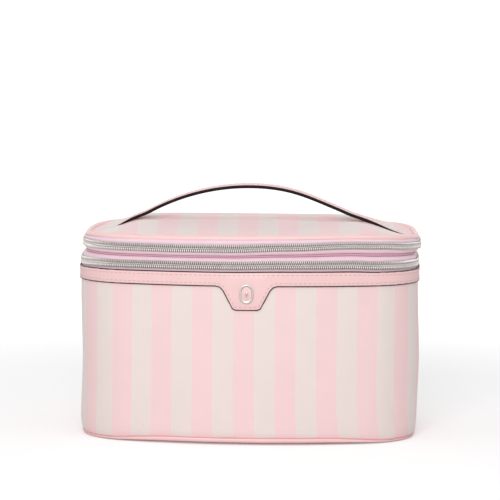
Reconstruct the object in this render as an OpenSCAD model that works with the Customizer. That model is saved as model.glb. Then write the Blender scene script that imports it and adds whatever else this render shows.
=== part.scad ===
// Soft-sided makeup train case: a deep main compartment, a shallow upper
// compartment in its lid, a zip all round each, and a strap handle on top.
// Millimetres, +Z up, front towards -Y, origin on the floor under the middle.

/* [Case] */
// Width of the body across its bowed sides
case_width = 254; // [230:1:290]
// Depth of the body across its bowed front and back
case_depth = 165; // [150:1:185]
// Radius of the bow of the front
front_bow = 330; // [280:5:420]
// Radius of the bow of each side
side_bow = 450; // [350:5:600]
// Radius of the bow of the back, which carries the hinge
back_bow = 1200; // [900:10:1600]
// Radius of the upright corners
corner_radius = 49; // [42:0.5:54]
// Height of the body up to the top edge of the trim band
body_height = 127.6; // [100:0.1:150]

/* [Fabric] */
// Thickness of the coated outer fabric
fabric_thickness = 1; // [0.6:0.1:1.4]
// Thickness of the foam in the walls
foam_thickness = 2.4; // [1.5:0.1:3]
// Thickness of the lining
lining_thickness = 0.6; // [0.4:0.1:0.8]
// Thickness of the stiff board in the base
board_thickness = 2; // [1.5:0.1:3]
// Diameter of the piping round the base
piping_diameter = 4.2; // [3:0.1:5]
// How far the piping stands clear of the floor
piping_lift = 1.5; // [1.4:0.1:2.5]
// How far the flat underside lies in from the wall
base_inset = 2.4; // [1:0.1:6]

/* [Trim band] */
// Height of the leather band round the top of the body
band_height = 10.2; // [8:0.1:14]
// Thickness of the band
band_thickness = 0.8; // [0.6:0.1:1.2]
// Width of the front tab where it leaves the band
tab_top_width = 37.7; // [30:0.1:50]
// Width of the front tab along its lower edge
tab_bottom_width = 20.3; // [16:0.1:26]
// How far the tab hangs below the band
tab_drop = 17.6; // [14:0.1:24]
// Radius of the tab's lower corners
tab_corner = 4.6; // [2:0.1:6]
// Radius of the fillets where the tab meets the band
tab_fillet = 6; // [3:0.1:8]
// Height of the metal badge on the tab
badge_height = 14; // [10:0.5:16]
// Width of the badge
badge_width = 10; // [7:0.5:12]
// Thickness of the badge
badge_thickness = 1.2; // [0.8:0.1:1.6]

/* [Zips] */
// Width of a closed zip's two rows of teeth together
coil_width = 6.2; // [5.4:0.1:6.8]
// Thickness of the teeth, from the face to the tape
coil_thickness = 1.8; // [1.5:0.1:2.6]
// Gap left between the two rows of teeth
coil_split = 1; // [0.9:0.05:1.4]
// Thickness of the zip tape
tape_thickness = 0.6; // [0.4:0.1:0.8]
// Height of tape seen between the band and the lower zip
tape_reveal = 1.5; // [1:0.1:3]
// Height of the fold between a zip and the seam between the zips
fold_height = 3.5; // [3:0.1:5]
// How far the seam between the zips lies in from the wall
fold_depth = 4; // [3.4:0.1:5]
// Angle past the side at which the zips end on the rear corners
zip_end_angle = 46; // [40:1:55]

/* [Sliders] */
// Length of a slider along the teeth
slider_length = 11; // [9:0.5:13]
// Height of a slider's outer plate
slider_height = 8.4; // [7.2:0.1:8.6]
// Thickness of a slider's plates
slider_plate = 0.9; // [0.7:0.1:1]
// Clearance between a slider's plates and the teeth or tape
slider_clearance = 0.5; // [0.4:0.05:0.6]
// Length of a pull from its pivot
pull_length = 24; // [18:0.5:30]
// Width of a pull at its widest
pull_width = 7; // [5.4:0.1:7.6]
// Thickness of a pull
pull_thickness = 1; // [0.8:0.1:1.2]

/* [Lid] */
// Diameter of the rolled binding round the lid
binding_diameter = 4; // [3.2:0.1:4.6]
// How far the binding's outer face lies in from the wall
lid_fold = 1.5; // [1:0.1:4]
// Height of tape seen between the upper zip and the binding
lid_reveal = 1.5; // [1:0.1:3]
// Height that the crown of the lid rises above its binding seam
crown_rise = 7.9; // [5:0.1:11]
// Distance in from the wall over which the crown rises
crown_run = 50; // [44:1:70]
// Distance between the divider's middle and the seam between the zips
divider_offset = 0; // [-0.4:0.1:0.4]

/* [Handle] */
// Width of the strap
strap_width = 18; // [14:0.5:24]
// Thickness of the finished strap
strap_thickness = 2.9; // [2.4:0.1:3.4]
// Radius of the strap's arch
arch_radius = 160; // [145:1:180]
// Height of the arch's top face above the crown of the lid
arch_rise = 26.8; // [25:0.1:31]
// Distance of the strap's sewn ends in from the wall
strap_end_inset = 9; // [8:0.5:23]
// Half-length of the part of the strap that leans
lean_reach = 66; // [50:0.5:68]

/* [Clearances] */
// Gap between layers of the same body
layer_gap = 0.2; // [0.15:0.05:0.3]
// Gap between parts that move on each other
moving_gap = 0.4; // [0.3:0.05:0.5]

/* [Hidden] */

// Straight steps along each arc of the plan, and round a rolled edge
corner_steps = 9;
bow_steps = 8;
side_steps = 4;
roll_steps = 8;
round_facets = 48;

// Centres of the plan's arcs; the left-hand ones are mirrored
front_centre = [0, front_bow - case_depth / 2];
back_centre = [0, case_depth / 2 - back_bow];
side_centre = [case_width / 2 - side_bow, 0];
front_corner = meet(front_centre, front_bow - corner_radius, side_centre, side_bow - corner_radius, 1);
back_corner = meet(back_centre, back_bow - corner_radius, side_centre, side_bow - corner_radius, -1);

// Directions in which the arcs of the right-hand half meet
front_turn = direction(front_centre, front_corner);
side_front_turn = direction(side_centre, front_corner);
side_back_turn = direction(side_centre, back_corner);
back_turn = direction(back_centre, back_corner);

// Depth of each layer of the wall, measured in from its outer face
tape_inset = fabric_thickness + layer_gap;
tape_inner = tape_inset + tape_thickness;
coil_inner = tape_inset - layer_gap;
coil_proud = coil_thickness - coil_inner;
foam_inset = fabric_thickness + layer_gap;
foam_inner = foam_inset + foam_thickness;
lining_inset = foam_inner + layer_gap;
lining_inner = lining_inset + lining_thickness;
band_inset = -layer_gap;
band_outer = band_inset - band_thickness;

// Heights of the base's layers
wall_bottom = piping_lift + piping_diameter + layer_gap;
base_panel_thickness = piping_lift - 1.5 * layer_gap;
board_bottom = base_panel_thickness + layer_gap;
base_foam_bottom = board_bottom + board_thickness + layer_gap;
lining_bottom = base_foam_bottom + foam_thickness + layer_gap;
core_inset = piping_diameter + layer_gap;

// Heights of the band and the zips
band_bottom = body_height - band_height;
wall_top = body_height - fabric_thickness / 2;
tape_hem = band_bottom + fabric_thickness;
lower_zip_bottom = body_height + tape_reveal;
lower_zip_middle = lower_zip_bottom + coil_width / 2;
seam_middle = lower_zip_bottom + coil_width + fold_height;
upper_zip_bottom = seam_middle + fold_height;
upper_zip_middle = upper_zip_bottom + coil_width / 2;
upper_zip_top = upper_zip_bottom + coil_width;

// Seam between the zips, and the divider sewn into it
welt_half = 0.7;
welt_width = 1.6;
fold_inset = fold_depth + layer_gap;
divider_inset = fold_depth + welt_width + layer_gap;
divider_middle = seam_middle + divider_offset;
seam_under = [fold_inset, seam_middle - welt_half - layer_gap];
seam_over = [fold_inset, seam_middle + welt_half + layer_gap];
divider_board_thickness = 1;

// Edge and crown of the lid
binding_radius = binding_diameter / 2;
binding_bottom = upper_zip_top + lid_reveal + fabric_thickness / 2;
binding_inset = lid_fold + binding_radius;
binding_middle = binding_bottom + binding_radius;
lid_seam_inset = lid_fold + layer_gap;
lid_seam = binding_under(lid_seam_inset + tape_thickness) - layer_gap;
crown_inset = lid_fold + binding_diameter + layer_gap;
crown_edge = binding_middle + layer_gap;
crown_top = crown_edge + crown_rise;
lid_lining_inset = lid_seam_inset + tape_thickness + layer_gap;
lid_lining_top = binding_bottom - layer_gap;
lid_foam_inset = crown_inset + 7;
lid_foam_thickness = foam_thickness - 2 * layer_gap;
ring_inset_limit = corner_radius - 9;

// Sliders are parked against the end stops, on the left-hand rear corner
stop_length = 1.5;
stop_angle = arc_angle(stop_length);
slider_angle = arc_angle(slider_length);
slider_park = 180 - zip_end_angle + stop_angle + arc_angle(layer_gap) + slider_angle / 2;
slider_outer = coil_proud + slider_clearance;
slider_inner = tape_inner + slider_clearance;
slider_web = coil_split - 2 * slider_clearance * 0.6;
pull_pivot = corner_radius + slider_outer + slider_plate + moving_gap * 0.75 + pull_thickness / 2;
bridge_inner = pull_pivot + pull_thickness / 2 + moving_gap * 0.75;
bridge_thickness = 1.1;
bridge_width = 2;
bridge_post = 1.2;
bridge_half = slider_length / 2 - 0.6;
eye_length = bridge_half + 1.2;
eye_width = bridge_width + 2 * moving_gap;

// Strap: its arch, its ends and where it leaves the crown
strap_reach = case_width / 2 - strap_end_inset;
arch_centre = crown_top + arch_rise - arch_radius;
strap_skin = (strap_thickness - 0.2) * 0.3;
strap_gap = layer_gap / 2;
strap_steps = 14;
lean_axis = crown_top + 6;

// Badge on the tab
badge_middle = band_bottom - 5.6;
badge_stud = 0.7;
badge_face = case_depth / 2 - band_outer + layer_gap / 4;

// ---- plan of the case -------------------------------------------------

// Point at distance r from p and s from q; side picks one of the two
function meet(p, r, q, s, side) =
    let(d = norm(q - p), u = (q - p) / d, along = (r * r - s * s + d * d) / (2 * d))
    p + along * u + side * sqrt(r * r - along * along) * [-u[1], u[0]];

function direction(from, to) = atan2(to[1] - from[1], to[0] - from[0]);

function flip(p) = [-p[0], p[1]];

// Angle that a length along the teeth takes up at a corner
function arc_angle(length) = length / (corner_radius + coil_proud) * 180 / PI;

// Points of an arc from angle a to angle b, without the last one
function arc(centre, radius, a, b, steps) =
    [for (i = [0 : steps - 1]) centre + radius * [cos(a + (b - a) * i / steps), sin(a + (b - a) * i / steps)]];

function on_arc(centre, radius, a) = centre + radius * [cos(a), sin(a)];

// Left side, front and right side, from one rear corner to the other, inset by t
function three_sides(t) = concat(
    arc(flip(side_centre), side_bow - t, 180 - side_back_turn, 180 - side_front_turn, side_steps),
    arc(flip(front_corner), corner_radius - t, 180 - side_front_turn, 180 - front_turn, corner_steps),
    arc(front_centre, front_bow - t, 180 - front_turn, 360 + front_turn, bow_steps),
    arc(front_corner, corner_radius - t, 360 + front_turn, 360 + side_front_turn, corner_steps),
    arc(side_centre, side_bow - t, side_front_turn, side_back_turn, side_steps)
);

// The whole outline, inset by t
function outline(t) = concat(
    three_sides(t),
    arc(back_corner, corner_radius - t, side_back_turn, back_turn, corner_steps),
    arc(back_centre, back_bow - t, back_turn, 180 - back_turn, side_steps),
    arc(flip(back_corner), corner_radius - t, 180 - back_turn, 180 - side_back_turn, corner_steps)
);

// The run of a zip, from its end on the left rear corner to its end on the right
function zip_run(t, stretch = 0) =
    let(e = zip_end_angle + stretch, steps = ceil(corner_steps / 2))
    concat(
        arc(flip(back_corner), corner_radius - t, 180 - e, 180 - side_back_turn, steps),
        three_sides(t),
        arc(back_corner, corner_radius - t, side_back_turn, e, steps),
        [on_arc(back_corner, corner_radius - t, e)]
    );

// The run of the back hinge, between the two ends of the zips
function hinge_run(t) =
    let(e = zip_end_angle + arc_angle(moving_gap), steps = ceil(corner_steps / 2))
    concat(
        arc(back_corner, corner_radius - t, e, back_turn, steps),
        arc(back_centre, back_bow - t, back_turn, 180 - back_turn, side_steps),
        arc(flip(back_corner), corner_radius - t, 180 - back_turn, 180 - e, steps),
        [on_arc(flip(back_corner), corner_radius - t, 180 - e)]
    );

function reversed(list) = [for (i = [len(list) - 1 : -1 : 0]) list[i]];

function at_height(points, z) = [for (p = points) [p[0], p[1], z]];

// ---- building blocks --------------------------------------------------

// Upright ring between two insets
module ring(outer, inner, bottom, top) {
    translate([0, 0, bottom])
        linear_extrude(top - bottom)
            difference() {
                polygon(outline(outer));
                polygon(outline(inner));
            }
}

// Flat sheet up to one inset
module sheet(inset, bottom, top) {
    translate([0, 0, bottom])
        linear_extrude(top - bottom)
            polygon(outline(inset));
}

// Upright strip along the run of the zips
module zip_strip(outer, inner, bottom, top) {
    translate([0, 0, bottom])
        linear_extrude(top - bottom)
            polygon(concat(zip_run(outer), reversed(zip_run(inner))));
}

// Upright strip along the back hinge
module hinge_strip(outer, inner, bottom, top) {
    translate([0, 0, bottom])
        linear_extrude(top - bottom)
            polygon(concat(hinge_run(outer), reversed(hinge_run(inner))));
}

// Closed ring swept along the outline; profile is a list of [inset, z], outer side
// first and going up
module swept_ring(profile) {
    loops = [for (p = profile) at_height(outline(p[0]), p[1])];
    n = len(loops[0]);
    m = len(loops);
    polyhedron(
        points = [for (loop = loops) each loop],
        faces = [for (i = [0 : m - 1]) for (j = [0 : n - 1]) each
            let(a = i * n + j, b = i * n + (j + 1) % n,
                c = ((i + 1) % m) * n + (j + 1) % n, d = ((i + 1) % m) * n + j)
            [[a, c, b], [a, d, c]]]
    );
}

// The same along the run of the zips or of the back hinge, with its two ends closed
module swept_strip(profile, back = false) {
    runs = [for (p = profile) at_height(back ? hinge_run(p[0]) : zip_run(p[0]), p[1])];
    n = len(runs[0]);
    m = len(runs);
    polyhedron(
        points = [for (run = runs) each run],
        faces = concat(
            [for (i = [0 : m - 1]) for (j = [0 : n - 2]) each
                let(a = i * n + j, b = a + 1, c = ((i + 1) % m) * n + j + 1, d = ((i + 1) % m) * n + j)
                [[a, c, b], [a, d, c]]],
            [[for (i = [m - 1 : -1 : 0]) i * n]],
            [[for (i = [0 : m - 1]) i * n + n - 1]]
        )
    );
}

// Round profile of a rolled edge
function roll(inset, z, radius) =
    [for (i = [0 : roll_steps - 1]) [inset - radius * cos(360 * i / roll_steps), z + radius * sin(360 * i / roll_steps)]];

// Height of the binding's underside at a distance in from the wall
function binding_under(t) = binding_middle - sqrt(pow(binding_radius, 2) - pow(binding_inset - t, 2));

// Height of the lid's outer face at a distance in from the wall
function crown(t) =
    let(s = min(1, (t - crown_inset) / (crown_run - crown_inset)))
    crown_edge + crown_rise * (1 - pow(1 - s, 2));

// Depth of the middle of the plan, measured in from the front
function mid_depth() = case_depth / 2;

// Rings of the crown: inset outlines near the edge, then shrinking copies
function crown_rings(first, drop) =
    let(last = ring_inset_limit, span = mid_depth() - last)
    concat(
        [for (i = [0 : 3]) let(t = first + (last - first) * i / 4) at_height(outline(t), crown(t) - drop)],
        [for (i = [0 : 2]) let(f = 1 - i / 3) at_height([for (p = outline(last)) p * f],
            crown(last + span * (1 - f)) - drop)]
    );

// Crowned sheet of one thickness, from the inset first to the middle
module crowned_sheet(first, drop, thickness) {
    upper = crown_rings(first, drop);
    lower = crown_rings(first, drop + thickness);
    n = len(upper[0]);
    m = len(upper);
    top = 2 * m * n;
    polyhedron(
        points = concat(
            [for (r = upper) each r], [for (r = lower) each r],
            [[0, 0, crown(mid_depth()) - drop], [0, 0, crown(mid_depth()) - drop - thickness]]),
        faces = concat(
            [for (i = [0 : m - 2]) for (j = [0 : n - 1]) each
                let(a = i * n + j, b = i * n + (j + 1) % n, c = b + n, d = a + n)
                [[a, c, b], [a, d, c], [m * n + a, m * n + b, m * n + c], [m * n + a, m * n + c, m * n + d]]],
            [for (j = [0 : n - 1]) [(m - 1) * n + j, top, (m - 1) * n + (j + 1) % n]],
            [for (j = [0 : n - 1]) [m * n + (m - 1) * n + j, m * n + (m - 1) * n + (j + 1) % n, top + 1]],
            [for (j = [0 : n - 1]) each let(k = (j + 1) % n) [[j, k, m * n + k], [j, m * n + k, m * n + j]]]
        )
    );
}

// Points of a polygon corner rounded to a radius; c is the corner, p and q its neighbours
function rounded(p, c, q, radius, steps = 6) =
    let(u = (p - c) / norm(p - c), v = (q - c) / norm(q - c), half = acos(u * v) / 2,
        centre = c + (u + v) / norm(u + v) * radius / sin(half),
        a = direction(centre, c + u * radius / tan(half)), b = direction(centre, c + v * radius / tan(half)),
        sweep = ((b - a + 540) % 360) - 180)
    [for (i = [0 : steps]) centre + radius * [cos(a + sweep * i / steps), sin(a + sweep * i / steps)]];

// Front view of the tab, with its fillets into the band
module tab_outline() {
    top = band_bottom + band_height / 2;
    bottom = band_bottom - tab_drop;
    shoulder = tab_top_width / 2;
    foot = tab_bottom_width / 2;
    far = shoulder + 2 * tab_fillet;
    half = concat(
        [[far, top], [far, band_bottom]],
        rounded([far, band_bottom], [shoulder, band_bottom], [foot, bottom], tab_fillet),
        rounded([shoulder, band_bottom], [foot, bottom], [0, bottom], tab_corner)
    );
    polygon(concat(half, reversed([for (p = half) flip(p)])));
}

// ---- base body --------------------------------------------------------

module body_wall() {
    color("#f1d9d8") ring(0, fabric_thickness, wall_bottom, wall_top);
}

module wall_foam() {
    color("#f7f3ee") ring(foam_inset, foam_inner, wall_bottom, tape_hem - layer_gap);
}

// Fabric cup that lines the main compartment
module main_lining() {
    color("#f3e3e0") {
        ring(lining_inset, lining_inner, lining_bottom, tape_hem - layer_gap);
        sheet(lining_inset + lining_thickness / 2, lining_bottom, lining_bottom + lining_thickness);
    }
}

module base_panel() {
    color("#f4cfce") sheet(base_inset, 0, base_panel_thickness);
}

module base_board() {
    color("#d9d4cc") sheet(core_inset, board_bottom, board_bottom + board_thickness);
}

module base_foam() {
    color("#f7f3ee") sheet(core_inset, base_foam_bottom, base_foam_bottom + foam_thickness);
}

module bottom_piping() {
    color("#f8cfce")
        swept_ring(roll(piping_diameter / 2 - layer_gap, piping_lift + piping_diameter / 2, piping_diameter / 2));
}

// Band round the top, with the tab and the two holes for the badge's studs
module trim_band() {
    color("#f3cecd") {
        difference() {
            union() {
                ring(band_outer, band_inset, band_bottom, body_height);
                intersection() {
                    ring(band_outer, band_inset, band_bottom - tab_drop, body_height - band_height / 2);
                    rotate([90, 0, 0]) linear_extrude(case_depth) tab_outline();
                }
            }
            badge_studs(badge_stud + layer_gap / 2);
        }
    }
}

module badge_studs(radius) {
    for (side = [-1, 1])
        translate([0, -badge_face, badge_middle + side * badge_height / 4])
            rotate([-90, 0, 0])
                cylinder(r = radius, h = band_thickness, $fn = round_facets);
}

// Plain oval plate with a raised rim, held by two studs
module badge() {
    rim = badge_width * 0.12;
    color("#c9c6c2") {
        translate([0, -badge_face, badge_middle])
            rotate([90, 0, 0]) {
                linear_extrude(badge_thickness / 2) stadium(badge_width, badge_height);
                linear_extrude(badge_thickness)
                    difference() {
                        stadium(badge_width, badge_height);
                        stadium(badge_width - 2 * rim, badge_height - 2 * rim);
                    }
            }
        badge_studs(badge_stud);
    }
}

module stadium(width, height) {
    offset_y = (height - width) / 2;
    for (side = [-1, 1])
        translate([0, side * offset_y]) circle(d = width, $fn = round_facets);
    square([width, 2 * offset_y], center = true);
}

// Tape that finishes the seam at the mouth of the main compartment
module main_seam_binding() {
    color("#e8c9d6") ring(tape_inner + layer_gap, lining_inner, tape_hem, wall_top);
}

module lower_zip_lower_tape() {
    color("#ecd6e4") zip_strip(tape_inset, tape_inner, tape_hem, lower_zip_middle - coil_split / 2);
}

// One row of teeth, below or above the middle of a zip
module teeth(middle, row) {
    bottom = row < 0 ? middle - coil_width / 2 : middle + coil_split / 2;
    color("#bfbab7")
        zip_strip(-coil_proud, coil_inner, bottom, bottom + (coil_width - coil_split) / 2);
}

module lower_zip_lower_teeth() {
    teeth(lower_zip_middle, -1);
}

// Metal stops that close the two ends of a row of teeth
module end_stops(middle, row) {
    tall = (coil_width - coil_split) / 2;
    bottom = row < 0 ? middle - coil_width / 2 : middle + coil_split / 2;
    color("#cfcac6")
        for (side = [0, 1])
            mirror([side, 0, 0])
                translate([back_corner[0], back_corner[1], bottom])
                    rotate([0, 0, zip_end_angle - stop_angle])
                        rotate_extrude(angle = stop_angle, $fn = round_facets)
                            translate([corner_radius + coil_proud + layer_gap / 2, 0])
                                square([fabric_thickness / 2, tall]);
}

module lower_zip_end_stops() {
    end_stops(lower_zip_middle, -1);
}

module back_hinge_lower() {
    color("#f1d9d8")
        hinge_strip(band_inset, tape_inner, body_height + layer_gap, lower_zip_middle - coil_split / 2);
}

// ---- tray body: the seam and divider between the two zips ---------------

// Profile of a strip that runs upright from one height to its knee, then leans in to a
// seam; seam is [inset, z]
function folding(outer, from, knee, seam) =
    let(up = seam[1] > from ? 1 : -1,
        profile = [[outer, from], [outer, knee], seam, seam + [tape_thickness, 0],
            [tape_inner, knee + up * layer_gap], [tape_inner, from]])
    up > 0 ? profile : reversed(profile);

module folding_tape(from, knee, seam) {
    color("#ecd6e4") swept_strip(folding(tape_inset, from, knee, seam));
}

module folding_hinge(from, knee, seam) {
    color("#f1d9d8") swept_strip(folding(band_inset, from, knee, seam), true);
}

module lower_zip_upper_tape() {
    folding_tape(lower_zip_middle + coil_split / 2, lower_zip_middle + coil_width / 2, seam_under);
}

module lower_zip_upper_teeth() {
    teeth(lower_zip_middle, 1);
}

module divider_seam_welt() {
    color("#dba9b8")
        ring(fold_depth, fold_depth + welt_width, divider_middle - welt_half, divider_middle + welt_half);
}

module divider_board() {
    half = divider_board_thickness / 2;
    color("#d9d4cc") sheet(divider_inset, divider_middle - half, divider_middle + half);
}

module divider_under_lining() {
    top = divider_middle - divider_board_thickness / 2 - layer_gap;
    color("#f3e3e0") sheet(divider_inset, top - lining_thickness, top);
}

module divider_top_lining() {
    bottom = divider_middle + divider_board_thickness / 2 + layer_gap;
    color("#f3e3e0") sheet(divider_inset, bottom, bottom + lining_thickness);
}

module upper_zip_lower_tape() {
    folding_tape(upper_zip_middle - coil_split / 2, upper_zip_middle - coil_width / 2, seam_over);
}

module upper_zip_lower_teeth() {
    teeth(upper_zip_middle, -1);
}

module upper_zip_end_stops() {
    end_stops(upper_zip_middle, -1);
}

module back_hinge_middle() {
    folding_hinge(lower_zip_middle - coil_split / 2 + moving_gap, lower_zip_middle + coil_width / 2, seam_under);
    folding_hinge(upper_zip_middle - coil_split / 2, upper_zip_middle - coil_width / 2, seam_over);
}

// ---- lid body -----------------------------------------------------------

module upper_zip_upper_tape() {
    folding_tape(upper_zip_middle + coil_split / 2, upper_zip_top, [lid_seam_inset, lid_seam]);
}

module upper_zip_upper_teeth() {
    teeth(upper_zip_middle, 1);
}

module lid_binding() {
    color("#f8d3d2") swept_ring(roll(binding_inset, binding_middle, binding_radius));
}

module lid_panel() {
    color("#f1d9d8") crowned_sheet(crown_inset, 0, fabric_thickness);
}

module lid_foam() {
    color("#f7f3ee") crowned_sheet(lid_foam_inset, fabric_thickness + layer_gap, lid_foam_thickness);
}

module lid_lining() {
    color("#f3e3e0") sheet(lid_lining_inset, lid_lining_top - lining_thickness, lid_lining_top);
}

module back_hinge_upper() {
    folding_hinge(upper_zip_middle - coil_split / 2 + moving_gap, upper_zip_top, [lid_seam_inset, lid_seam]);
}

// Underside and top of the strap at a distance x from the middle
function arch(x, radius) = arch_centre + sqrt(radius * radius - x * x);
function strap_under(x) = max(crown(case_width / 2 - x) + layer_gap, arch(x, arch_radius - strap_thickness));
function strap_over(x) = max(strap_under(x) + strap_thickness, arch(x, arch_radius));

// Sewn end of the strap: it lies on the crown and rises to the part that leans
module strap_end() {
    start = lean_reach + moving_gap / 2;
    xs = [for (i = [0 : strap_steps]) start + (strap_reach - start) * i / strap_steps];
    color("#f3cecd")
        translate([0, strap_width / 2, 0])
            rotate([90, 0, 0])
                linear_extrude(strap_width)
                    polygon(concat([for (x = xs) [x, strap_under(x)]], [for (x = reversed(xs)) [x, strap_over(x)]]));
}

module strap_end_left() {
    mirror([1, 0, 0]) strap_end();
}

module strap_end_right() {
    strap_end();
}

// ---- handle body --------------------------------------------------------

// One layer of the arched strap between two radii
module strap_layer(outer, inner, width) {
    intersection() {
        translate([0, width / 2, arch_centre])
            rotate([90, 0, 0])
                difference() {
                    cylinder(r = outer, h = width, $fn = 200);
                    translate([0, 0, -1]) cylinder(r = inner, h = width + 2, $fn = 200);
                }
        translate([moving_gap / 2 - lean_reach, -width, crown_top])
            cube([2 * lean_reach - moving_gap, 2 * width, arch_rise + strap_thickness]);
    }
}

module strap_top_leather() {
    color("#f5d3d2") strap_layer(arch_radius, arch_radius - strap_skin, strap_width);
}

module strap_core() {
    color("#2a1a18")
        strap_layer(arch_radius - strap_skin - strap_gap, arch_radius - strap_thickness + strap_skin + strap_gap,
            strap_width);
}

module strap_under_leather() {
    color("#f3cecd")
        strap_layer(arch_radius - strap_thickness + strap_skin, arch_radius - strap_thickness, strap_width);
}

// ---- sliders and pulls ----------------------------------------------------

// Places a child at the parked slider: +X along the teeth towards the zip's end,
// +Y outwards from the corner
module at_slider(middle) {
    translate([-back_corner[0], back_corner[1], middle])
        rotate([0, 0, slider_park - 90])
            children();
}

// Two plates joined by a thin web between the rows of teeth, and the bridge for the pull
module slider(middle) {
    inner_half = coil_width / 2 + layer_gap;
    outer_half = slider_height / 2;
    outer_face = corner_radius + slider_outer;
    inner_face = corner_radius - slider_inner;
    color("#cdc9c5")
        at_slider(middle) {
            rotate([0, 0, 90 - slider_angle / 2])
                rotate_extrude(angle = slider_angle, $fn = 4 * round_facets) {
                    translate([outer_face, -outer_half]) square([slider_plate, slider_height]);
                    translate([inner_face - slider_plate, -inner_half]) square([slider_plate, 2 * inner_half]);
                    translate([inner_face - slider_plate / 2, -slider_web / 2])
                        square([outer_face - inner_face + slider_plate, slider_web]);
                }
            for (side = [-1, 1])
                translate([side * (bridge_half - bridge_post / 2) - bridge_post / 2,
                    outer_face + slider_plate / 2, -bridge_width / 2])
                    cube([bridge_post, bridge_inner + bridge_thickness - outer_face - slider_plate / 2, bridge_width]);
            translate([-bridge_half, bridge_inner, -bridge_width / 2])
                cube([2 * bridge_half, bridge_thickness, bridge_width]);
        }
}

// Flat pull whose eye holds a round bar under the slider's bridge
module pull(middle) {
    color("#cdc9c5")
        at_slider(middle)
            translate([0, pull_pivot, 0]) {
                cylinder(d = pull_thickness, h = eye_width + 1, center = true, $fn = round_facets);
                translate([0, pull_thickness / 2, 0])
                    rotate([90, 0, 0])
                        linear_extrude(pull_thickness)
                            difference() {
                                union() {
                                    translate([0, -eye_width / 2 - 1]) square([eye_length, eye_width + 2]);
                                    translate([eye_length, -pull_width / 2])
                                        square([pull_length - eye_length - pull_width / 2, pull_width]);
                                    translate([pull_length - pull_width / 2, 0])
                                        circle(d = pull_width, $fn = round_facets);
                                    translate([eye_length, 0]) circle(d = pull_width, $fn = round_facets);
                                }
                                translate([-1, -eye_width / 2]) square([eye_length + 1, eye_width]);
                                translate([pull_length - pull_width / 2, 0])
                                    circle(d = pull_width * 0.3, $fn = round_facets);
                            }
            }
}

module lower_slider() {
    slider(lower_zip_middle);
}

module lower_pull() {
    pull(lower_zip_middle);
}

module upper_slider() {
    slider(upper_zip_middle);
}

module upper_pull() {
    pull(upper_zip_middle);
}

body_wall();
wall_foam();
main_lining();
base_panel();
base_board();
base_foam();
bottom_piping();
trim_band();
badge();
main_seam_binding();
lower_zip_lower_tape();
lower_zip_lower_teeth();
lower_zip_end_stops();
back_hinge_lower();
lower_zip_upper_tape();
lower_zip_upper_teeth();
divider_under_lining();
divider_board();
divider_top_lining();
divider_seam_welt();
upper_zip_lower_tape();
upper_zip_lower_teeth();
upper_zip_end_stops();
back_hinge_middle();
upper_zip_upper_tape();
upper_zip_upper_teeth();
lid_binding();
lid_panel();
lid_foam();
lid_lining();
back_hinge_upper();
strap_end_left();
strap_end_right();
strap_top_leather();
strap_core();
strap_under_leather();
lower_slider();
lower_pull();
upper_slider();
upper_pull();
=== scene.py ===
"""Soft-sided makeup train case: striped cloth body, two zips, padded lid and strap.

What goes round the case is laid flat in front of it, shaped there, and then wrapped
round its plan, as the cloth, band and zips of a real one are sewn. The pieces that lie
across the case, such as the lid's cloth, are rings of the same plan that close inwards.
"""

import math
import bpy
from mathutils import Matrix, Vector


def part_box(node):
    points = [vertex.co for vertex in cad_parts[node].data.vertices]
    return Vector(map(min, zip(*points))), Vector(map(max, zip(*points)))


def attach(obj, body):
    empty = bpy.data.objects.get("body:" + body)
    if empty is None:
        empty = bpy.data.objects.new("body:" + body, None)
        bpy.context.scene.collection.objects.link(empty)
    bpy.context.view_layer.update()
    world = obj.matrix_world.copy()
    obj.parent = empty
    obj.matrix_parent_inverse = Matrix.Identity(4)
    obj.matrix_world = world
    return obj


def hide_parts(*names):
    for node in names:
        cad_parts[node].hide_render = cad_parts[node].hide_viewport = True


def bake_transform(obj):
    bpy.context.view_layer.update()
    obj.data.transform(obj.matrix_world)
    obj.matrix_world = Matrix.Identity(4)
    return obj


bl_info = {
    "name": "Makeup Train Case",
    "version": (1, 0, 0),
    "blender": (4, 5, 0),
    "location": "View3D > Sidebar > Train Case",
    "description": "Makes the cloth, leather, zips and strap of a soft-sided makeup train case",
    "category": "Object",
}

import bmesh
import bpy
from bpy.props import FloatProperty, FloatVectorProperty, PointerProperty
from mathutils import Matrix, Quaternion, Vector, noise

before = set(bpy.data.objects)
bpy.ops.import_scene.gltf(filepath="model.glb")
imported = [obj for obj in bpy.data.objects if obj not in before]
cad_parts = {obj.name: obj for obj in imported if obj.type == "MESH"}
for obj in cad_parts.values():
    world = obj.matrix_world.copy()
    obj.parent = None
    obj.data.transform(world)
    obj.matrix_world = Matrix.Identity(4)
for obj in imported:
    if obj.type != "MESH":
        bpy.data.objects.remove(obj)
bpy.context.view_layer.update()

MM = 0.001

# ---- plan of the case ------------------------------------------------------

HALF_WIDTH = 127 * MM
HALF_DEPTH = 82.5 * MM
FRONT_BOW = 330 * MM
SIDE_BOW = 450 * MM
BACK_BOW = 1200 * MM
CORNER = 49 * MM
DEEPEST_INSET = CORNER - 9 * MM


def meet(p, r, q, s, side):
    """Point at distance r from p and s from q; side picks one of the two."""
    apart = (q - p).length
    u = (q - p) / apart
    along = (r * r - s * s + apart * apart) / (2 * apart)
    return p + along * u + side * math.sqrt(r * r - along * along) * Vector((-u.y, u.x))


def direction(start, end):
    """Angle of the way from one point to another."""
    return math.atan2(end.y - start.y, end.x - start.x)


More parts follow.
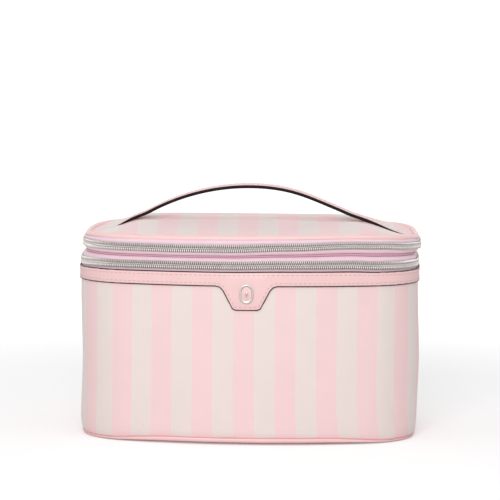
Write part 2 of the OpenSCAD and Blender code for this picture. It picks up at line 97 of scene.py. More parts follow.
def half_plan():
    """Arcs of the right-hand half, from the middle of the front to the middle of the back."""
    front = Vector((0, FRONT_BOW - HALF_DEPTH))
    back = Vector((0, HALF_DEPTH - BACK_BOW))
    side = Vector((HALF_WIDTH - SIDE_BOW, 0))
    front_corner = meet(front, FRONT_BOW - CORNER, side, SIDE_BOW - CORNER, 1)
    rear_corner = meet(back, BACK_BOW - CORNER, side, SIDE_BOW - CORNER, -1)
    turns = [-math.pi / 2, direction(front, front_corner), direction(side, front_corner)]
    turns += [direction(side, rear_corner), direction(back, rear_corner), math.pi / 2]
    centres = [front, front_corner, side, rear_corner, back]
    radii = [FRONT_BOW, CORNER, SIDE_BOW, CORNER, BACK_BOW]
    return [
        (centre, radius, start, (end - start) * radius)
        for centre, radius, start, end in zip(centres, radii, turns, turns[1:])
    ]


HALF_PLAN = half_plan()
HALF_ROUND = sum(arc[3] for arc in HALF_PLAN)
REAR_CORNER = HALF_PLAN[3][0]
TO_REAR_CORNER = sum(arc[3] for arc in HALF_PLAN[:3])


def outline_spot(distance, out):
    """Point at a distance round the wall from the middle of the front, and so far outside it."""
    left = min(abs(distance), HALF_ROUND)
    for arc in HALF_PLAN:
        centre, radius, start, length = arc
        if left <= length or arc is HALF_PLAN[-1]:
            break
        left -= length
    angle = start + left / radius
    x = centre.x + (radius + out) * math.cos(angle)
    y = centre.y + (radius + out) * math.sin(angle)
    return math.copysign(x, distance) if x > 0 else 0.0, y


def spot(distance, out):
    """The same for any depth: past the deepest inset the outline shrinks to the middle."""
    if out >= -DEEPEST_INSET:
        return outline_spot(distance, out)
    x, y = outline_spot(distance, -DEEPEST_INSET)
    share = max(0.0, (HALF_DEPTH + out) / (HALF_DEPTH - DEEPEST_INSET))
    return x * share, y * share


def corner_distance(angle_in_degrees):
    """Distance round the wall to a direction on the rear corner."""
    start = HALF_PLAN[3][2]
    return TO_REAR_CORNER + (math.radians(angle_in_degrees) - start) * CORNER


# ---- heights and depths of the layers ---------------------------------------


def low(node_name):
    """Lowest corner of a node's box."""
    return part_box(node_name)[0]


def high(node_name):
    """Highest corner of a node's box."""
    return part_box(node_name)[1]


# Clearance and the thickness of each cloth
CLEAR = 0.2 * MM
STRIPED_THICKNESS = 0.9 * MM
LINING_THICKNESS = 0.4 * MM
TAPE_THICKNESS = 0.5 * MM

# Wall, piping and band
WALL_BOTTOM = low("body_wall").z
WALL_TOP = high("body_wall").z
PIPING_BOTTOM = low("bottom_piping").z
PIPING_RADIUS = (high("bottom_piping").z - PIPING_BOTTOM) / 2
PIPING_INSET = PIPING_RADIUS - CLEAR
PIPING_LIFT = PIPING_BOTTOM - 0.3 * MM
BAND_TOP = high("trim_band").z
TAB_BOTTOM = low("trim_band").z
BAND_HEIGHT = 10.2 * MM
BAND_BOTTOM = BAND_TOP - BAND_HEIGHT
BAND_THICKNESS = -low("trim_band").y - HALF_DEPTH - CLEAR

# Zips, the seam between them, and their sliders
TAPE_INSET = 1.2 * MM
TAPE_HEM = low("lower_zip_lower_tape").z
TAPE_SPLIT = 0.5 * MM
COIL_WIDTH = high("lower_zip_upper_teeth").z - low("lower_zip_lower_teeth").z
COIL_PROUD = -low("lower_zip_lower_teeth").y - HALF_DEPTH
COIL_DEPTH = COIL_PROUD + TAPE_INSET - CLEAR
LOWER_ZIP = low("lower_zip_lower_teeth").z + COIL_WIDTH / 2
UPPER_ZIP = low("upper_zip_lower_teeth").z + COIL_WIDTH / 2
ZIP_END = corner_distance(46)
SEAM = (LOWER_ZIP + UPPER_ZIP) / 2
SEAM_GAP = 0.9 * MM
FOLD_DEPTH = 3.4 * MM
SLIDER_LENGTH = 11 * MM
SLIDER_SPOT = ZIP_END - 1.7 * MM - SLIDER_LENGTH / 2
PULL_OUT = 3 * MM
PARK_ANGLE = math.radians(142.284)

# Lid
BINDING_RADIUS = (high("lid_binding").z - low("lid_binding").z) / 2
BINDING_MIDDLE = (high("lid_binding").z + low("lid_binding").z) / 2
BINDING_INSET = HALF_DEPTH + low("lid_binding").y + BINDING_RADIUS
BINDING_SEAM = BINDING_MIDDLE - BINDING_RADIUS + 0.8 * MM
LID_FOLD = BINDING_INSET - BINDING_RADIUS + CLEAR
CROWN_INSET = HALF_DEPTH + low("lid_panel").y
CROWN_EDGE = BINDING_MIDDLE + CLEAR
CROWN_RISE = high("lid_panel").z - CROWN_EDGE
CROWN_END = 78 * MM
CROWN_SLOPE = 43 * MM
FRONT_CURVE = 4
REAR_CURVE = 7
REAR_RISE = 0.5 * MM

# Strap
ARCH_RADIUS = 160 * MM
ARCH_CENTRE = high("strap_top_leather").z - ARCH_RADIUS
STRAP_WIDTH = high("strap_top_leather").y * 2
STRAP_THICKNESS = 2.9 * MM
STRAP_SKIN = 0.7 * MM
STRAP_REACH = high("strap_end_right").x + 2.5 * MM
LAST_STRETCH = 9 * MM
SLUMP = 0.6 * MM
RIGHT_SLUMP = 2.2 * MM
RIGHT_SLUMP_SPOT = 60 * MM
RIGHT_SLUMP_SPREAD = 24 * MM

# How finely the cloth is divided along its way round
RING_COLUMNS = 360
PLAIN_COLUMNS = 180
ZIP_COLUMNS = 300


# ---- how the soft case has settled -------------------------------------------------

# Places along the wall in millimetres, and for each height the rise at those places
SAG_PLACES = (-260, -205, -170, -150, -115, -60, -15, 25, 75, 100, 125, 150, 190, 245)
SAG_LEVELS = (
    (117, (0, 0, 0, 0, 0, 0, 0, 0, 0, 0, 0, 0, 0, 0)),
    (132, (0, 0, -0.8, -1.2, -0.3, 0.0, 0.1, 0.8, 0.8, -0.1, -0.4, -0.6, -0.3, 0)),
    (145, (0, 0, 0, 0.0, -0.9, -1.1, -0.8, 0.6, 2.2, 1.8, 0.4, -0.4, -0.3, 0)),
    (152, (-0.8, -3.0, -2.8, -2.0, -1.2, -1.0, -0.6, 0.0, 0.6, 0.2, -1.0, -2.6, -3.2, -0.8)),
)
HEM_TUCK = 0.5 * MM
CORNER_TUCK = 0.3 * MM
TURN_IN = 0.8 * MM
TURN_HEIGHT = 2.6 * MM
CORNER_DROP = 2.4 * MM
SIDE_SWAY = 1.5 * MM
SWAY_HEIGHT = 58 * MM
SWAY_SPREAD = 32 * MM
TOP_LEAN = 1.7 * MM


def ease(x):
    """Goes smoothly from 0 to 1 as x does."""
    x = min(1.0, max(0.0, x))
    return x * x * (3 - 2 * x)


def bell(x, middle, width):
    """1 at the middle, falling away on both sides."""
    return math.exp(-(((x - middle) / width) ** 2))


def plateau(x, start, rise, end, fall):
    """1 between start and end, easing to 0 over a rise at the start and a fall at the end."""
    return ease((x - start) / rise) * ease((end - x) / fall)


def waver(x, y, z):
    """Smooth unevenness between -1 and 1."""
    return noise.noise(Vector((x, y, z)))


def between(places, values, x):
    """Smooth value between the two places on either side of x."""
    for a, b, u, v in zip(places, places[1:], values, values[1:]):
        if a <= x <= b:
            return u + (v - u) * ease((x - a) / (b - a))
    return values[0] if x < places[0] else values[-1]


def sag(distance, height):
    """How far the band, the zips and the lid's edge stand above or below their level."""
    levels = [level for level, row in SAG_LEVELS]
    rises = [between(SAG_PLACES, row, distance / MM) for level, row in SAG_LEVELS]
    return between(levels, rises, height / MM) * MM


def corner_share(distance):
    """0 along the middle of the front, rising to 1 at its corners and beyond."""
    return ease((abs(distance) - 55 * MM) / (60 * MM))


def rim_share(inset):
    """1 near the wall, falling to 0 towards the middle of the case."""
    return ease((50 * MM - inset) / (40 * MM))


def loose_share(inset):
    """0 along the sewn rim of a sheet, rising to 1 where it hangs loose."""
    return ease((inset - 6 * MM) / (16 * MM))


def settled(distance, inset, height):
    """Place of a point once the case has settled: its hem tucks in, its top leans and sags."""
    low_down = (1 - ease((height - 3 * MM) / (12 * MM))) ** 2
    tuck = (HEM_TUCK + CORNER_TUCK * corner_share(distance)) * low_down
    side = plateau(abs(distance), 110 * MM, 50 * MM, 270 * MM, 60 * MM)
    sway = math.copysign(SIDE_SWAY, -distance) * side * bell(height, SWAY_HEIGHT, SWAY_SPREAD)
    x, y = spot(distance, -inset - tuck - sway)
    start, end = (150 * MM, 205 * MM) if distance < 0 else (210 * MM, 245 * MM)
    near = rim_share(inset)
    beside = ease((end - abs(distance)) / (end - start))
    lean = TOP_LEAN * near * beside * ease((height - LOWER_ZIP) / (UPPER_ZIP - LOWER_ZIP))
    return Vector((x + lean, y, height + near * sag(distance, height)))


# ---- benches for modelling ----------------------------------------------------

UPRIGHT = (math.pi / 2, 0, 0)
LENGTHWAYS = (0, math.pi / 2, 0)


def put_down():
    """Leaves edit mode and deselects everything."""
    if bpy.context.object and bpy.context.object.mode != "OBJECT":
        bpy.ops.object.mode_set(mode="OBJECT")
    for item in bpy.context.selected_objects:
        item.select_set(False)


def take_up(piece, *others):
    """Selects one piece, or a few with the first one active, and nothing else."""
    put_down()
    for item in (piece, *others):
        item.select_set(True)
    bpy.context.view_layer.objects.active = piece


def join(piece, *others):
    """Makes several pieces one, which keeps the first one's name."""
    take_up(piece, *others)
    bpy.ops.object.join()
    return piece


def fresh(name):
    """Names the primitive that was just added, and sets its place into its mesh."""
    piece = bpy.context.object
    piece.name = name
    piece.data.name = name
    bpy.ops.object.transform_apply(location=True, rotation=True, scale=True)
    return piece


def grid(name, columns, rows, rotation=(0, 0, 0)):
    """A flat sheet of size 1 to be laid out."""
    put_down()
    bpy.ops.mesh.primitive_grid_add(
        x_subdivisions=columns, y_subdivisions=rows, size=1, rotation=rotation
    )
    return fresh(name)


def cube(name, place, size):
    """A block of a size at a place."""
    put_down()
    bpy.ops.mesh.primitive_cube_add(size=1, location=place)
    bpy.ops.transform.resize(value=size)
    return fresh(name)


def tube(name, sides, radius, span, place=(0, 0, 0)):
    """An open tube that runs along X."""
    put_down()
    bpy.ops.mesh.primitive_cylinder_add(
        vertices=sides,
        radius=radius,
        depth=span,
        end_fill_type="NOTHING",
        location=place,
        rotation=LENGTHWAYS,
    )
    return fresh(name)


def edit(piece, kind):
    """Opens a piece in edit mode with nothing selected; kind is VERT, EDGE or FACE."""
    take_up(piece)
    bpy.ops.object.mode_set(mode="EDIT")
    bpy.ops.mesh.select_mode(type=kind)
    bpy.ops.mesh.select_all(action="DESELECT")


def choose_faces(piece, test):
    """Opens a piece and selects the faces whose middle and normal pass a test."""
    edit(piece, "FACE")
    mesh = bmesh.from_edit_mesh(piece.data)
    for face in mesh.faces:
        face.select_set(bool(test(face.calc_center_median(), face.normal)))
    bmesh.update_edit_mesh(piece.data)


def choose_long_edges(piece, axis):
    """Opens a piece and selects the edges that run along an axis."""
    edit(piece, "EDGE")
    mesh = bmesh.from_edit_mesh(piece.data)
    for edge in mesh.edges:
        a, b = (v.co for v in edge.verts)
        edge.select_set(abs((b - a).normalized()[axis]) > 0.99)
    bmesh.update_edit_mesh(piece.data)


def cut(piece, cuts, axis=0):
    """Cuts a straight piece across, so that it can bend."""
    choose_long_edges(piece, axis)
    bpy.ops.mesh.subdivide(number_cuts=cuts)
    put_down()


def round_off(piece, offset, segments=3, axis=0):
    """Rounds the long edges of a straight piece."""
    choose_long_edges(piece, axis)
    bpy.ops.mesh.bevel(offset=offset, segments=segments, affect="EDGES")
    put_down()


def apply(piece, kind, **settings):
    """Adds a modifier, sets it and applies it."""
    take_up(piece)
    modifier = piece.modifiers.new(kind.title(), kind)
    for key, value in settings.items():
        setattr(modifier, key, value)
    bpy.ops.object.modifier_apply(modifier=modifier.name)


def thicken(piece, thickness, offset=-1, even=False):
    """Gives a sheet its thickness, to the side away from its normals unless told otherwise."""
    apply(piece, "SOLIDIFY", thickness=thickness, offset=offset, use_even_offset=even)


def soften(piece, width, segments, angle):
    """Rounds the edges that are sharper than an angle in degrees."""
    sharp = math.radians(angle)
    apply(piece, "BEVEL", width=width, segments=segments, limit_method="ANGLE", angle_limit=sharp)


def smooth(piece, angle=60):
    """Shades a piece smooth, except at edges sharper than an angle in degrees."""
    take_up(piece)
    bpy.ops.object.shade_smooth_by_angle(angle=math.radians(angle))


def weld(piece, apart=0.01 * MM):
    """Merges doubled points and turns the faces outwards."""
    edit(piece, "VERT")
    bpy.ops.mesh.select_all(action="SELECT")
    bpy.ops.mesh.remove_doubles(threshold=apart)
    bpy.ops.mesh.normals_make_consistent(inside=False)
    put_down()


def face_up(sheet, side=1):
    """Turns a sheet so that its good side is up, or down for side -1."""
    if side * sum(polygon.normal.z for polygon in sheet.data.polygons) < 0:
        edit(sheet, "FACE")
        bpy.ops.mesh.select_all(action="SELECT")
        bpy.ops.mesh.flip_normals()
        put_down()


def on_wall(co):
    """Map of a piece that is laid flat in front of the wall."""
    return co.x, co.z


def on_plan(co):
    """Map of a piece that lies flat on the case."""
    return co.x, co.y


def unroll(piece, across=on_wall):
    """Gives a piece a UV map in metres."""
    layer = piece.data.uv_layers.get("UVMap") or piece.data.uv_layers.new(name="UVMap")
    for loop in piece.data.loops:
        layer.data[loop.index].uv = across(piece.data.vertices[loop.vertex_index].co)


def shape(piece, rule):
    """Moves every point of a piece to where a rule puts it."""
    for vertex in piece.data.vertices:
        vertex.co = rule(vertex.co)


def wrap(piece):
    """Bends a flat-laid piece round the plan: X is the way round and -Y is outwards."""
    shape(piece, lambda co: settled(co.x, co.y, co.z))


def repeat(name, pattern, places):
    """Copies of a small pattern at many places, as one mesh; the pattern goes away."""
    points = [v.co.copy() for v in pattern.data.vertices]
    faces = [list(p.vertices) for p in pattern.data.polygons]
    all_points, all_faces = [], []
    for place in places:
        first = len(all_points)
        all_points += [place @ point for point in points]
        all_faces += [[first + i for i in face] for face in faces]
    mesh = bpy.data.meshes.new(name)
    mesh.from_pydata(all_points, [], all_faces)
    piece = bpy.data.objects.new(name, mesh)
    bpy.context.scene.collection.objects.link(piece)
    bpy.data.objects.remove(pattern, do_unlink=True)
    return piece


def steps(a, b, count):
    """Even steps from a to b, both included."""
    return [a + (b - a) * i / count for i in range(count + 1)]


def cloth_strip(name, profile, start, end, columns, thickness=0.0, loose=None, across=on_wall):
    """Cloth that follows a profile of (inset, height) from one distance to another.

    loose(distance, inset, height) may move each point before the cloth is thickened
    inwards and wrapped. across is the rule of its UV map.
    """
    rows = len(profile) - 1
    piece = grid(name, columns, rows, UPRIGHT)

    def rule(co):
        inset, height = profile[round((co.z + 0.5) * rows)]
        distance = start + (co.x + 0.5) * (end - start)
        if loose:
            inset, height = loose(distance, inset, height)
        return Vector((distance, inset, height))

    shape(piece, rule)
    unroll(piece, across)
    if thickness:
        thicken(piece, thickness, even=True)
    wrap(piece)
    return piece


def cloth_ring(name, profile, thickness=0.0, loose=None, columns=RING_COLUMNS, across=on_wall):
    """The same all the way round, closed at the middle of the back and thickened last."""
    piece = cloth_strip(name, profile, -HALF_ROUND, HALF_ROUND, columns, 0.0, loose, across)
    weld(piece)
    if thickness:
        thicken(piece, thickness, even=True)
    return piece


def flat_sheet(name, edge, level, rows, thickness, side=1, columns=PLAIN_COLUMNS):
    """A sheet that lies across the case, its rim set in from the wall.

    level(x, y, inset, distance) is the height of each point, and side is 1 where the
    good side is up and -1 where it is down.
    """

    def loose(distance, inset, height):
        x, y = spot(distance, -inset)
        return inset, level(x, y, inset, distance)

    profile = [(inset, 0.0) for inset in steps(edge, HALF_DEPTH, rows)]
    sheet = cloth_ring(name, profile, loose=loose, columns=columns)
    unroll(sheet, on_plan)
    face_up(sheet, side)
    thicken(sheet, thickness)
    smooth(sheet)
    return sheet


def roll(name, inset, height, radius, sides, loose):
    """A closed roll round the case, such as piping; loose may move each point."""
    piece = tube(name, sides, radius, 2 * HALF_ROUND, (0, inset, height))
    cut(piece, RING_COLUMNS - 1)
    shape(piece, loose)
    unroll(piece, lambda co: (co.x, math.atan2(co.z - height, co.y - inset) * radius))
    wrap(piece)
    weld(piece)
    smooth(piece, 80)
    return piece


def bar(name, insets, heights, ends, columns, round_edge):
    """A flat bar between two insets, heights and distances, with its long edges rounded."""
    spans = [sorted(pair) for pair in (ends, insets, heights)]
    middle = [(a + b) / 2 for a, b in spans]
    piece = cube(name, middle, [b - a for a, b in spans])
    round_off(piece, round_edge)
    cut(piece, columns - 1)
    unroll(piece)
    return piece


def bar_ring(name, insets, heights, round_edge):
    """The same all the way round the case."""
    piece = bar(name, insets, heights, (-HALF_ROUND, HALF_ROUND), RING_COLUMNS, round_edge)
    choose_faces(piece, lambda middle, normal: abs(normal.x) > 0.9)
    bpy.ops.mesh.delete(type="FACE")
    put_down()
    wrap(piece)
    weld(piece)
    smooth(piece, 50)
    return piece


def stitch(length, breadth, height):
    """One stitch of thread, to be repeated."""
    put_down()
    bpy.ops.mesh.primitive_uv_sphere_add(segments=6, ring_count=5, radius=1, rotation=LENGTHWAYS)
    thread = fresh("stitch")
    shape(thread, lambda co: Vector((co.x * length / 2, co.y * breadth, co.z * height)))
    return thread


def cover(piece, material_name):
    """Gives a piece the finish of a name in place of any other."""
    piece.data.materials.clear()
    piece.data.materials.append(finish_named(material_name))


def finish(piece, body, material_name, stands_for=()):
    """Covers a piece, hides the parts it stands for and puts it on a body; a piece between two bodies only
    has its place set into its mesh.
    """
    cover(piece, material_name)
    if stands_for:
        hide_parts(*stands_for)
    if isinstance(body, str):
        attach(piece, body)
    else:
        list(body)
        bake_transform(piece)


# ---- colours and sizes that can be changed --------------------------------------


def tone(code):
    """Linear colour of a six-digit colour code."""
    parts = [int(code[i : i + 2], 16) / 255 for i in (0, 2, 4)]
    return [c / 12.92 if c <= 0.04045 else ((c + 0.055) / 1.055) ** 2.4 for c in parts]


def colour(name, description, code):
    """A colour that the panel shows."""
    return FloatVectorProperty(
        name=name, description=description, default=tone(code), subtype="COLOR", min=0, max=1
    )


def length(name, description, default):
    """A length that the panel shows."""
    return FloatProperty(
        name=name, description=description, default=default, min=0, unit="LENGTH", precision=4
    )


class TrainCaseColours(bpy.types.PropertyGroup):
    """Colours of the case's cloths, leather and metal."""

    pink: colour("Pink stripe", "Pink stripes of the cloth", "f5d3d4")
    cream: colour("Cream stripe", "Cream stripes of the cloth", "ecddd8")
    leather: colour("Leather", "Band, tab and strap", "f2cbca")
    piping: colour("Piping", "Piping round the base and binding round the lid", "f9d1d0")
    tape: colour("Zip tape", "Woven tape of the zips", "f8d9e5")
    # Darker pink standing for the shade in the fold between the two zips: painted shade on the real welt
    shaded_welt: colour("Welt", "Seam between the two zips", "d9a3b3")
    teeth: colour("Teeth", "Metallised teeth of the zips", "d9d4d1")
    # Dark grey standing for the shade inside the coils: painted shade on the real cord
    shaded_cord: colour("Coil cord", "Cord that fills the coils of the teeth", "77706e")
    plating: colour("Plating", "Sliders, pulls and stops", "cfcac6")
    paint: colour("Edge paint", "Painted edges of the leather", "3a2522")
    strap_paint: colour("Strap edge paint", "Painted edge of the strap", "140b0a")
    # Darker pink standing for the shadow in the seam above the piping: painted shade on the real hem
    hem_shade: colour("Hem", "Turned edge of the cloth along the base", "e5a0a8")
    thread: colour("Thread", "Stitches on the leather", "e2aaa9")
    lining: colour("Lining", "Lining of both compartments", "f3dcda")
    foam: colour("Foam", "Foam sheets", "f3efe9")
    board: colour("Board", "Stiff boards", "d6cfc6")


class TrainCaseSizes(bpy.types.PropertyGroup):
    """Sizes of the case's patterns and trimmings."""

    stripe: length("Stripe width", "Width of one stripe of the wall cloth", 15.23 * MM)
    stripe_middle: FloatProperty(
        name="Stripe middle",
        description="Middle of the central pink stripe, along the wall",
        default=-1.8 * MM,
        unit="LENGTH",
    )
    lid_stripe: length("Lid stripe width", "Width of one stripe of the lid's cloth", 14.9 * MM)
    lid_stripe_middle: FloatProperty(
        name="Lid stripe middle",
        description="Middle of the lid's central pink stripe",
        default=-1.6 * MM,
        unit="LENGTH",
    )
    lid_stripe_skew: FloatProperty(
        name="Lid stripe skew",
        description="How far the lid's stripes lean for each unit of depth",
        default=-0.0297,
    )
    slack: length("Slack", "How far the wall cloth stands in or out", 0.35 * MM)
    stitch: length("Stitch", "Length of one stitch", 2.3 * MM)
    stitch_pitch: length("Stitch pitch", "Distance from one stitch to the next", 3.55 * MM)
    stitch_inset: length("Stitch inset", "Distance of the stitches from the edge", 2.3 * MM)
    edge_bead: length("Edge bead", "Radius of the painted edge of the band", 0.5 * MM)
    tooth_pitch: length("Tooth pitch", "Distance from one tooth to the next", 1.5 * MM)
    crease: length("Crease", "Depth of the creases across the lid", 1.3 * MM)


# ---- finishes ------------------------------------------------------------------


def node(tree, kind, values=None, **settings):
    """Adds a shader node; values sets or links its inputs by name or number."""
    made = tree.nodes.new("ShaderNode" + kind)
    for key, value in settings.items():
        setattr(made, key, value)
    for key, value in (values or {}).items():
        if isinstance(value, bpy.types.NodeSocket):
            tree.links.new(value, made.inputs[key])
        else:
            made.inputs[key].default_value = value
    return made


def math_node(tree, operation, *values):
    """Result of a sum with shader values."""
    return node(tree, "Math", dict(enumerate(values)), operation=operation).outputs["Value"]


def mapped(tree, value, low_end, high_end, start=0.0, end=1.0, interpolation="LINEAR"):
    """A shader value moved from the range start to end into another range."""
    values = {"Value": value, "From Min": start, "From Max": end, "To Min": low_end, "To Max": high_end}
    return node(tree, "MapRange", values, interpolation_type=interpolation).outputs["Result"]


def clouds(tree, place, scale, detail=3.0):
    """Noise between 0 and 1."""
    return node(tree, "TexNoise", {"Vector": place, "Scale": scale, "Detail": detail}).outputs["Fac"]


def start_material(name, roughness, **sockets):
    """A node material: (material, its tree, its shader, object coordinates, UV map)."""
    material = bpy.data.materials.new(name)
    material.use_nodes = True
    tree = material.node_tree
    shader = tree.nodes["Principled BSDF"]
    shader.inputs["Roughness"].default_value = roughness
    for key, value in sockets.items():
        shader.inputs[key.replace("_", " ")].default_value = value
    places = node(tree, "TexCoord")
    return material, tree, shader, places.outputs["Object"], places.outputs["UV"]


def varied(tree, place, base, scale, amount):
    """A colour that drifts lighter and darker over the surface."""
    level = mapped(tree, clouds(tree, place, scale, 4.0), 1 - amount, 1 + amount, 0.3, 0.7)
    shaded = node(tree, "VectorMath", {0: base, 1: level}, operation="MULTIPLY")
    return shaded.outputs["Vector"]


def plain(tree, base):
    """One colour."""
    made = node(tree, "RGB")
    made.outputs[0].default_value = (*base, 1)
    return made.outputs[0]


def dye(tree, shader, place, base, scale, amount):
    """Gives a shader one colour that drifts a little."""
    tree.links.new(varied(tree, place, plain(tree, base), scale, amount), shader.inputs["Base Color"])


def weave_height(tree, uv, pitch):
    """Plain weave: two crossed sets of threads."""
    ways = []
    for way in "XY":
        values = {"Vector": uv, "Scale": 0.314 / pitch}
        threads = node(tree, "TexWave", values, wave_type="BANDS", bands_direction=way)
        ways.append(threads.outputs["Fac"])
    return math_node(tree, "MULTIPLY", *ways)


def bump(tree, shader, height, strength, depth):
    """Raises a shader's surface by a height between 0 and 1 times a depth."""
    made = node(tree, "Bump", {"Height": height, "Strength": strength, "Distance": depth})
    tree.links.new(made.outputs["Normal"], shader.inputs["Normal"])


def striped_cloth(name, colours, width, middle, skew=0.0):
    """Coated cloth with crisp woven-in stripes that follow the UV map."""
    material, tree, shader, place, uv = start_material(
        name, 0.5, Coat_Weight=0.12, Coat_Roughness=0.35, Sheen_Weight=0.15, Sheen_Roughness=0.4
    )
    parts = node(tree, "SeparateXYZ", {0: uv})
    lean = math_node(tree, "MULTIPLY_ADD", parts.outputs["Y"], -skew, -middle)
    along = math_node(tree, "ADD", parts.outputs["X"], lean)
    swing = math_node(tree, "COSINE", math_node(tree, "MULTIPLY", along, math.pi / width))
    edge = mapped(tree, swing, 0.0, 1.0, -0.035, 0.035, "SMOOTHSTEP")
    shades = {"Factor": edge, "A": (*colours.cream, 1), "B": (*colours.pink, 1)}
    dyed = node(tree, "Mix", shades, data_type="RGBA")
    worn = varied(tree, place, dyed.outputs["Result"], 55.0, 0.012)
    tree.links.new(worn, shader.inputs["Base Color"])
    dull = mapped(tree, clouds(tree, place, 180.0), 0.44, 0.58)
    tree.links.new(dull, shader.inputs["Roughness"])
    bump(tree, shader, weave_height(tree, uv, 0.45 * MM), 0.25, 0.04 * MM)
    return material


def leather(name, base, grain=0.5 * MM, roughness=0.42):
    """Faux leather with a fine pebbled grain."""
    material, tree, shader, place, _ = start_material(
        name, roughness, Coat_Weight=0.15, Coat_Roughness=0.3
    )
    dye(tree, shader, place, base, 90.0, 0.015)
    pattern = {"Vector": place, "Scale": 1 / grain, "Randomness": 0.9}
    pebbles = node(tree, "TexVoronoi", pattern, feature="SMOOTH_F1")
    folds = clouds(tree, place, 260.0, 5.0)
    both = math_node(tree, "MULTIPLY_ADD", folds, 0.6, pebbles.outputs["Distance"])
    bump(tree, shader, both, 0.22, 0.06 * MM)
    return material


def woven(name, base, pitch=0.5 * MM, roughness=0.72):
    """Plain woven tape, thread or lining cloth, its colour darkened in the hollows of the weave as painted
    shade.
    """
    material, tree, shader, place, uv = start_material(
        name, roughness, Sheen_Weight=0.35, Sheen_Roughness=0.5
    )
    shade = varied(tree, place, plain(tree, base), 120.0, 0.02)
    weave = weave_height(tree, uv, pitch)
    # The colour is lighter on the raised threads and darker in the weave's hollows: painted light and shade
    level = mapped(tree, weave, 0.93, 1.04)
    lit = node(tree, "VectorMath", {0: shade, 1: level}, operation="MULTIPLY")
    tree.links.new(lit.outputs["Vector"], shader.inputs["Base Color"])
    bump(tree, shader, weave, 0.5, 0.08 * MM)
    return material


def metal(name, base, roughness, scratch=0.08):
    """Plated metal with faint brushing and clouded gloss."""
    material, tree, shader, place, _ = start_material(name, roughness, Metallic=1.0)
    dye(tree, shader, place, base, 300.0, 0.05)
    dull = mapped(tree, clouds(tree, place, 700.0), roughness - scratch, roughness + scratch)
    tree.links.new(dull, shader.inputs["Roughness"])
    brushed = node(tree, "Mapping", {"Vector": place, "Scale": (300.0, 300.0, 4000.0)})
    bump(tree, shader, clouds(tree, brushed.outputs["Vector"], 1.0, 2.0), 0.06, 0.02 * MM)
    return material


def painted(name, base, roughness=0.38):
    """Edge paint, laid on by hand and a little uneven."""
    material, tree, shader, place, _ = start_material(name, roughness, Specular_IOR_Level=0.25)
    dye(tree, shader, place, base, 150.0, 0.15)
    bump(tree, shader, clouds(tree, place, 350.0), 0.3, 0.1 * MM)
    return material


def porous(name, base, cell, depth):
    """Foam or pressed board: open cells or fibres."""
    material, tree, shader, place, _ = start_material(name, 0.9)
    dye(tree, shader, place, base, 200.0, 0.05)
    cells = node(tree, "TexVoronoi", {"Vector": place, "Scale": 1 / cell})
    bump(tree, shader, cells.outputs["Distance"], 0.6, depth)
    return material


def finish_named(name):
    """The material of that name, made when it is first asked for."""
    made = bpy.data.materials.get(name)
    if made:
        return made
    scene = bpy.context.scene
    c, s = scene.train_case_colours, scene.train_case_sizes
    recipes = {
        "wall stripes": lambda: striped_cloth(name, c, s.stripe, s.stripe_middle),
        "lid stripes": lambda: striped_cloth(name, c, s.lid_stripe, s.lid_stripe_middle, s.lid_stripe_skew),
        "pink leather": lambda: leather(name, c.leather),
        "piping leather": lambda: leather(name, c.piping, 0.4 * MM, 0.45),
        "zip tape": lambda: woven(name, c.tape),
        # The welt tape's darker pink is painted shade of the fold between the zips
        "shaded welt tape": lambda: woven(name, c.shaded_welt),
        "lining cloth": lambda: woven(name, c.lining, 0.35 * MM, 0.5),
        "thread": lambda: woven(name, c.thread, 0.3 * MM, 0.6),
        "zip teeth": lambda: metal(name, c.teeth, 0.5),
        # The cord's dark grey is painted shade inside the coil
        "shaded coil cord": lambda: woven(name, c.shaded_cord, 0.4 * MM, 0.7),
        "plated metal": lambda: metal(name, c.plating, 0.2),
        # The hem's darker pink is painted shade of the seam between the wall and the piping
        "hem_shade": lambda: leather(name, c.hem_shade, 0.3 * MM, 0.5),
        "enamel": lambda: painted(name, c.piping, 0.2),
        "edge paint": lambda: painted(name, c.paint),
        "strap edge paint": lambda: painted(name, c.strap_paint, 0.75),
        "foam": lambda: porous(name, c.foam, 0.8 * MM, 0.3 * MM),
        "board": lambda: porous(name, c.board, 1.5 * MM, 0.05 * MM),
    }
    return recipes[name]()


# ---- outline of the band --------------------------------------------------------

TAB_SHOULDER = 18.85 * MM
TAB_FOOT = 10.15 * MM
TAB_CORNER = 4.6 * MM
TAB_FILLET = 6 * MM
TAB_REACH = TAB_SHOULDER + 2 * TAB_FILLET


def rounded(p, corner, q, radius, count=8):
    """Points that round a corner between two neighbours."""
    u, v = (p - corner).normalized(), (q - corner).normalized()
    half = u.angle(v) / 2
    centre = corner + (u + v).normalized() * radius / math.sin(half)
    a = direction(centre, corner + u * radius / math.tan(half))
    b = direction(centre, corner + v * radius / math.tan(half))
    sweep = (b - a + 3 * math.pi) % (2 * math.pi) - math.pi
    return [centre + radius * Vector((math.cos(t), math.sin(t))) for t in steps(a, a + sweep, count)]


def band_edge(inset):
    """Lower edge of the band's right half, so far inside its real edge, from the tab's middle out."""
    slant = Vector((TAB_FOOT - TAB_SHOULDER, TAB_BOTTOM - BAND_BOTTOM)).normalized()
    aside = Vector((slant.y, -slant.x)) * inset
    cut_off = aside.x - slant.x * (aside.y - inset) / slant.y
    foot = Vector((TAB_FOOT + cut_off, TAB_BOTTOM + inset))
    shoulder = Vector((TAB_SHOULDER + cut_off, BAND_BOTTOM + inset))
    far = Vector((TAB_REACH + inset, shoulder.y))
    middle = Vector((0, foot.y))
    corner = rounded(middle, foot, shoulder, TAB_CORNER - inset)
    fillet = rounded(foot, shoulder, far, TAB_FILLET + inset)
    return [middle, *corner, *fillet, far]


def both_halves(right):
    """A run of points on the right and its mirror image, from far left to far right."""
    return [Vector((-p.x, p.y)) for p in reversed(right[1:])] + right


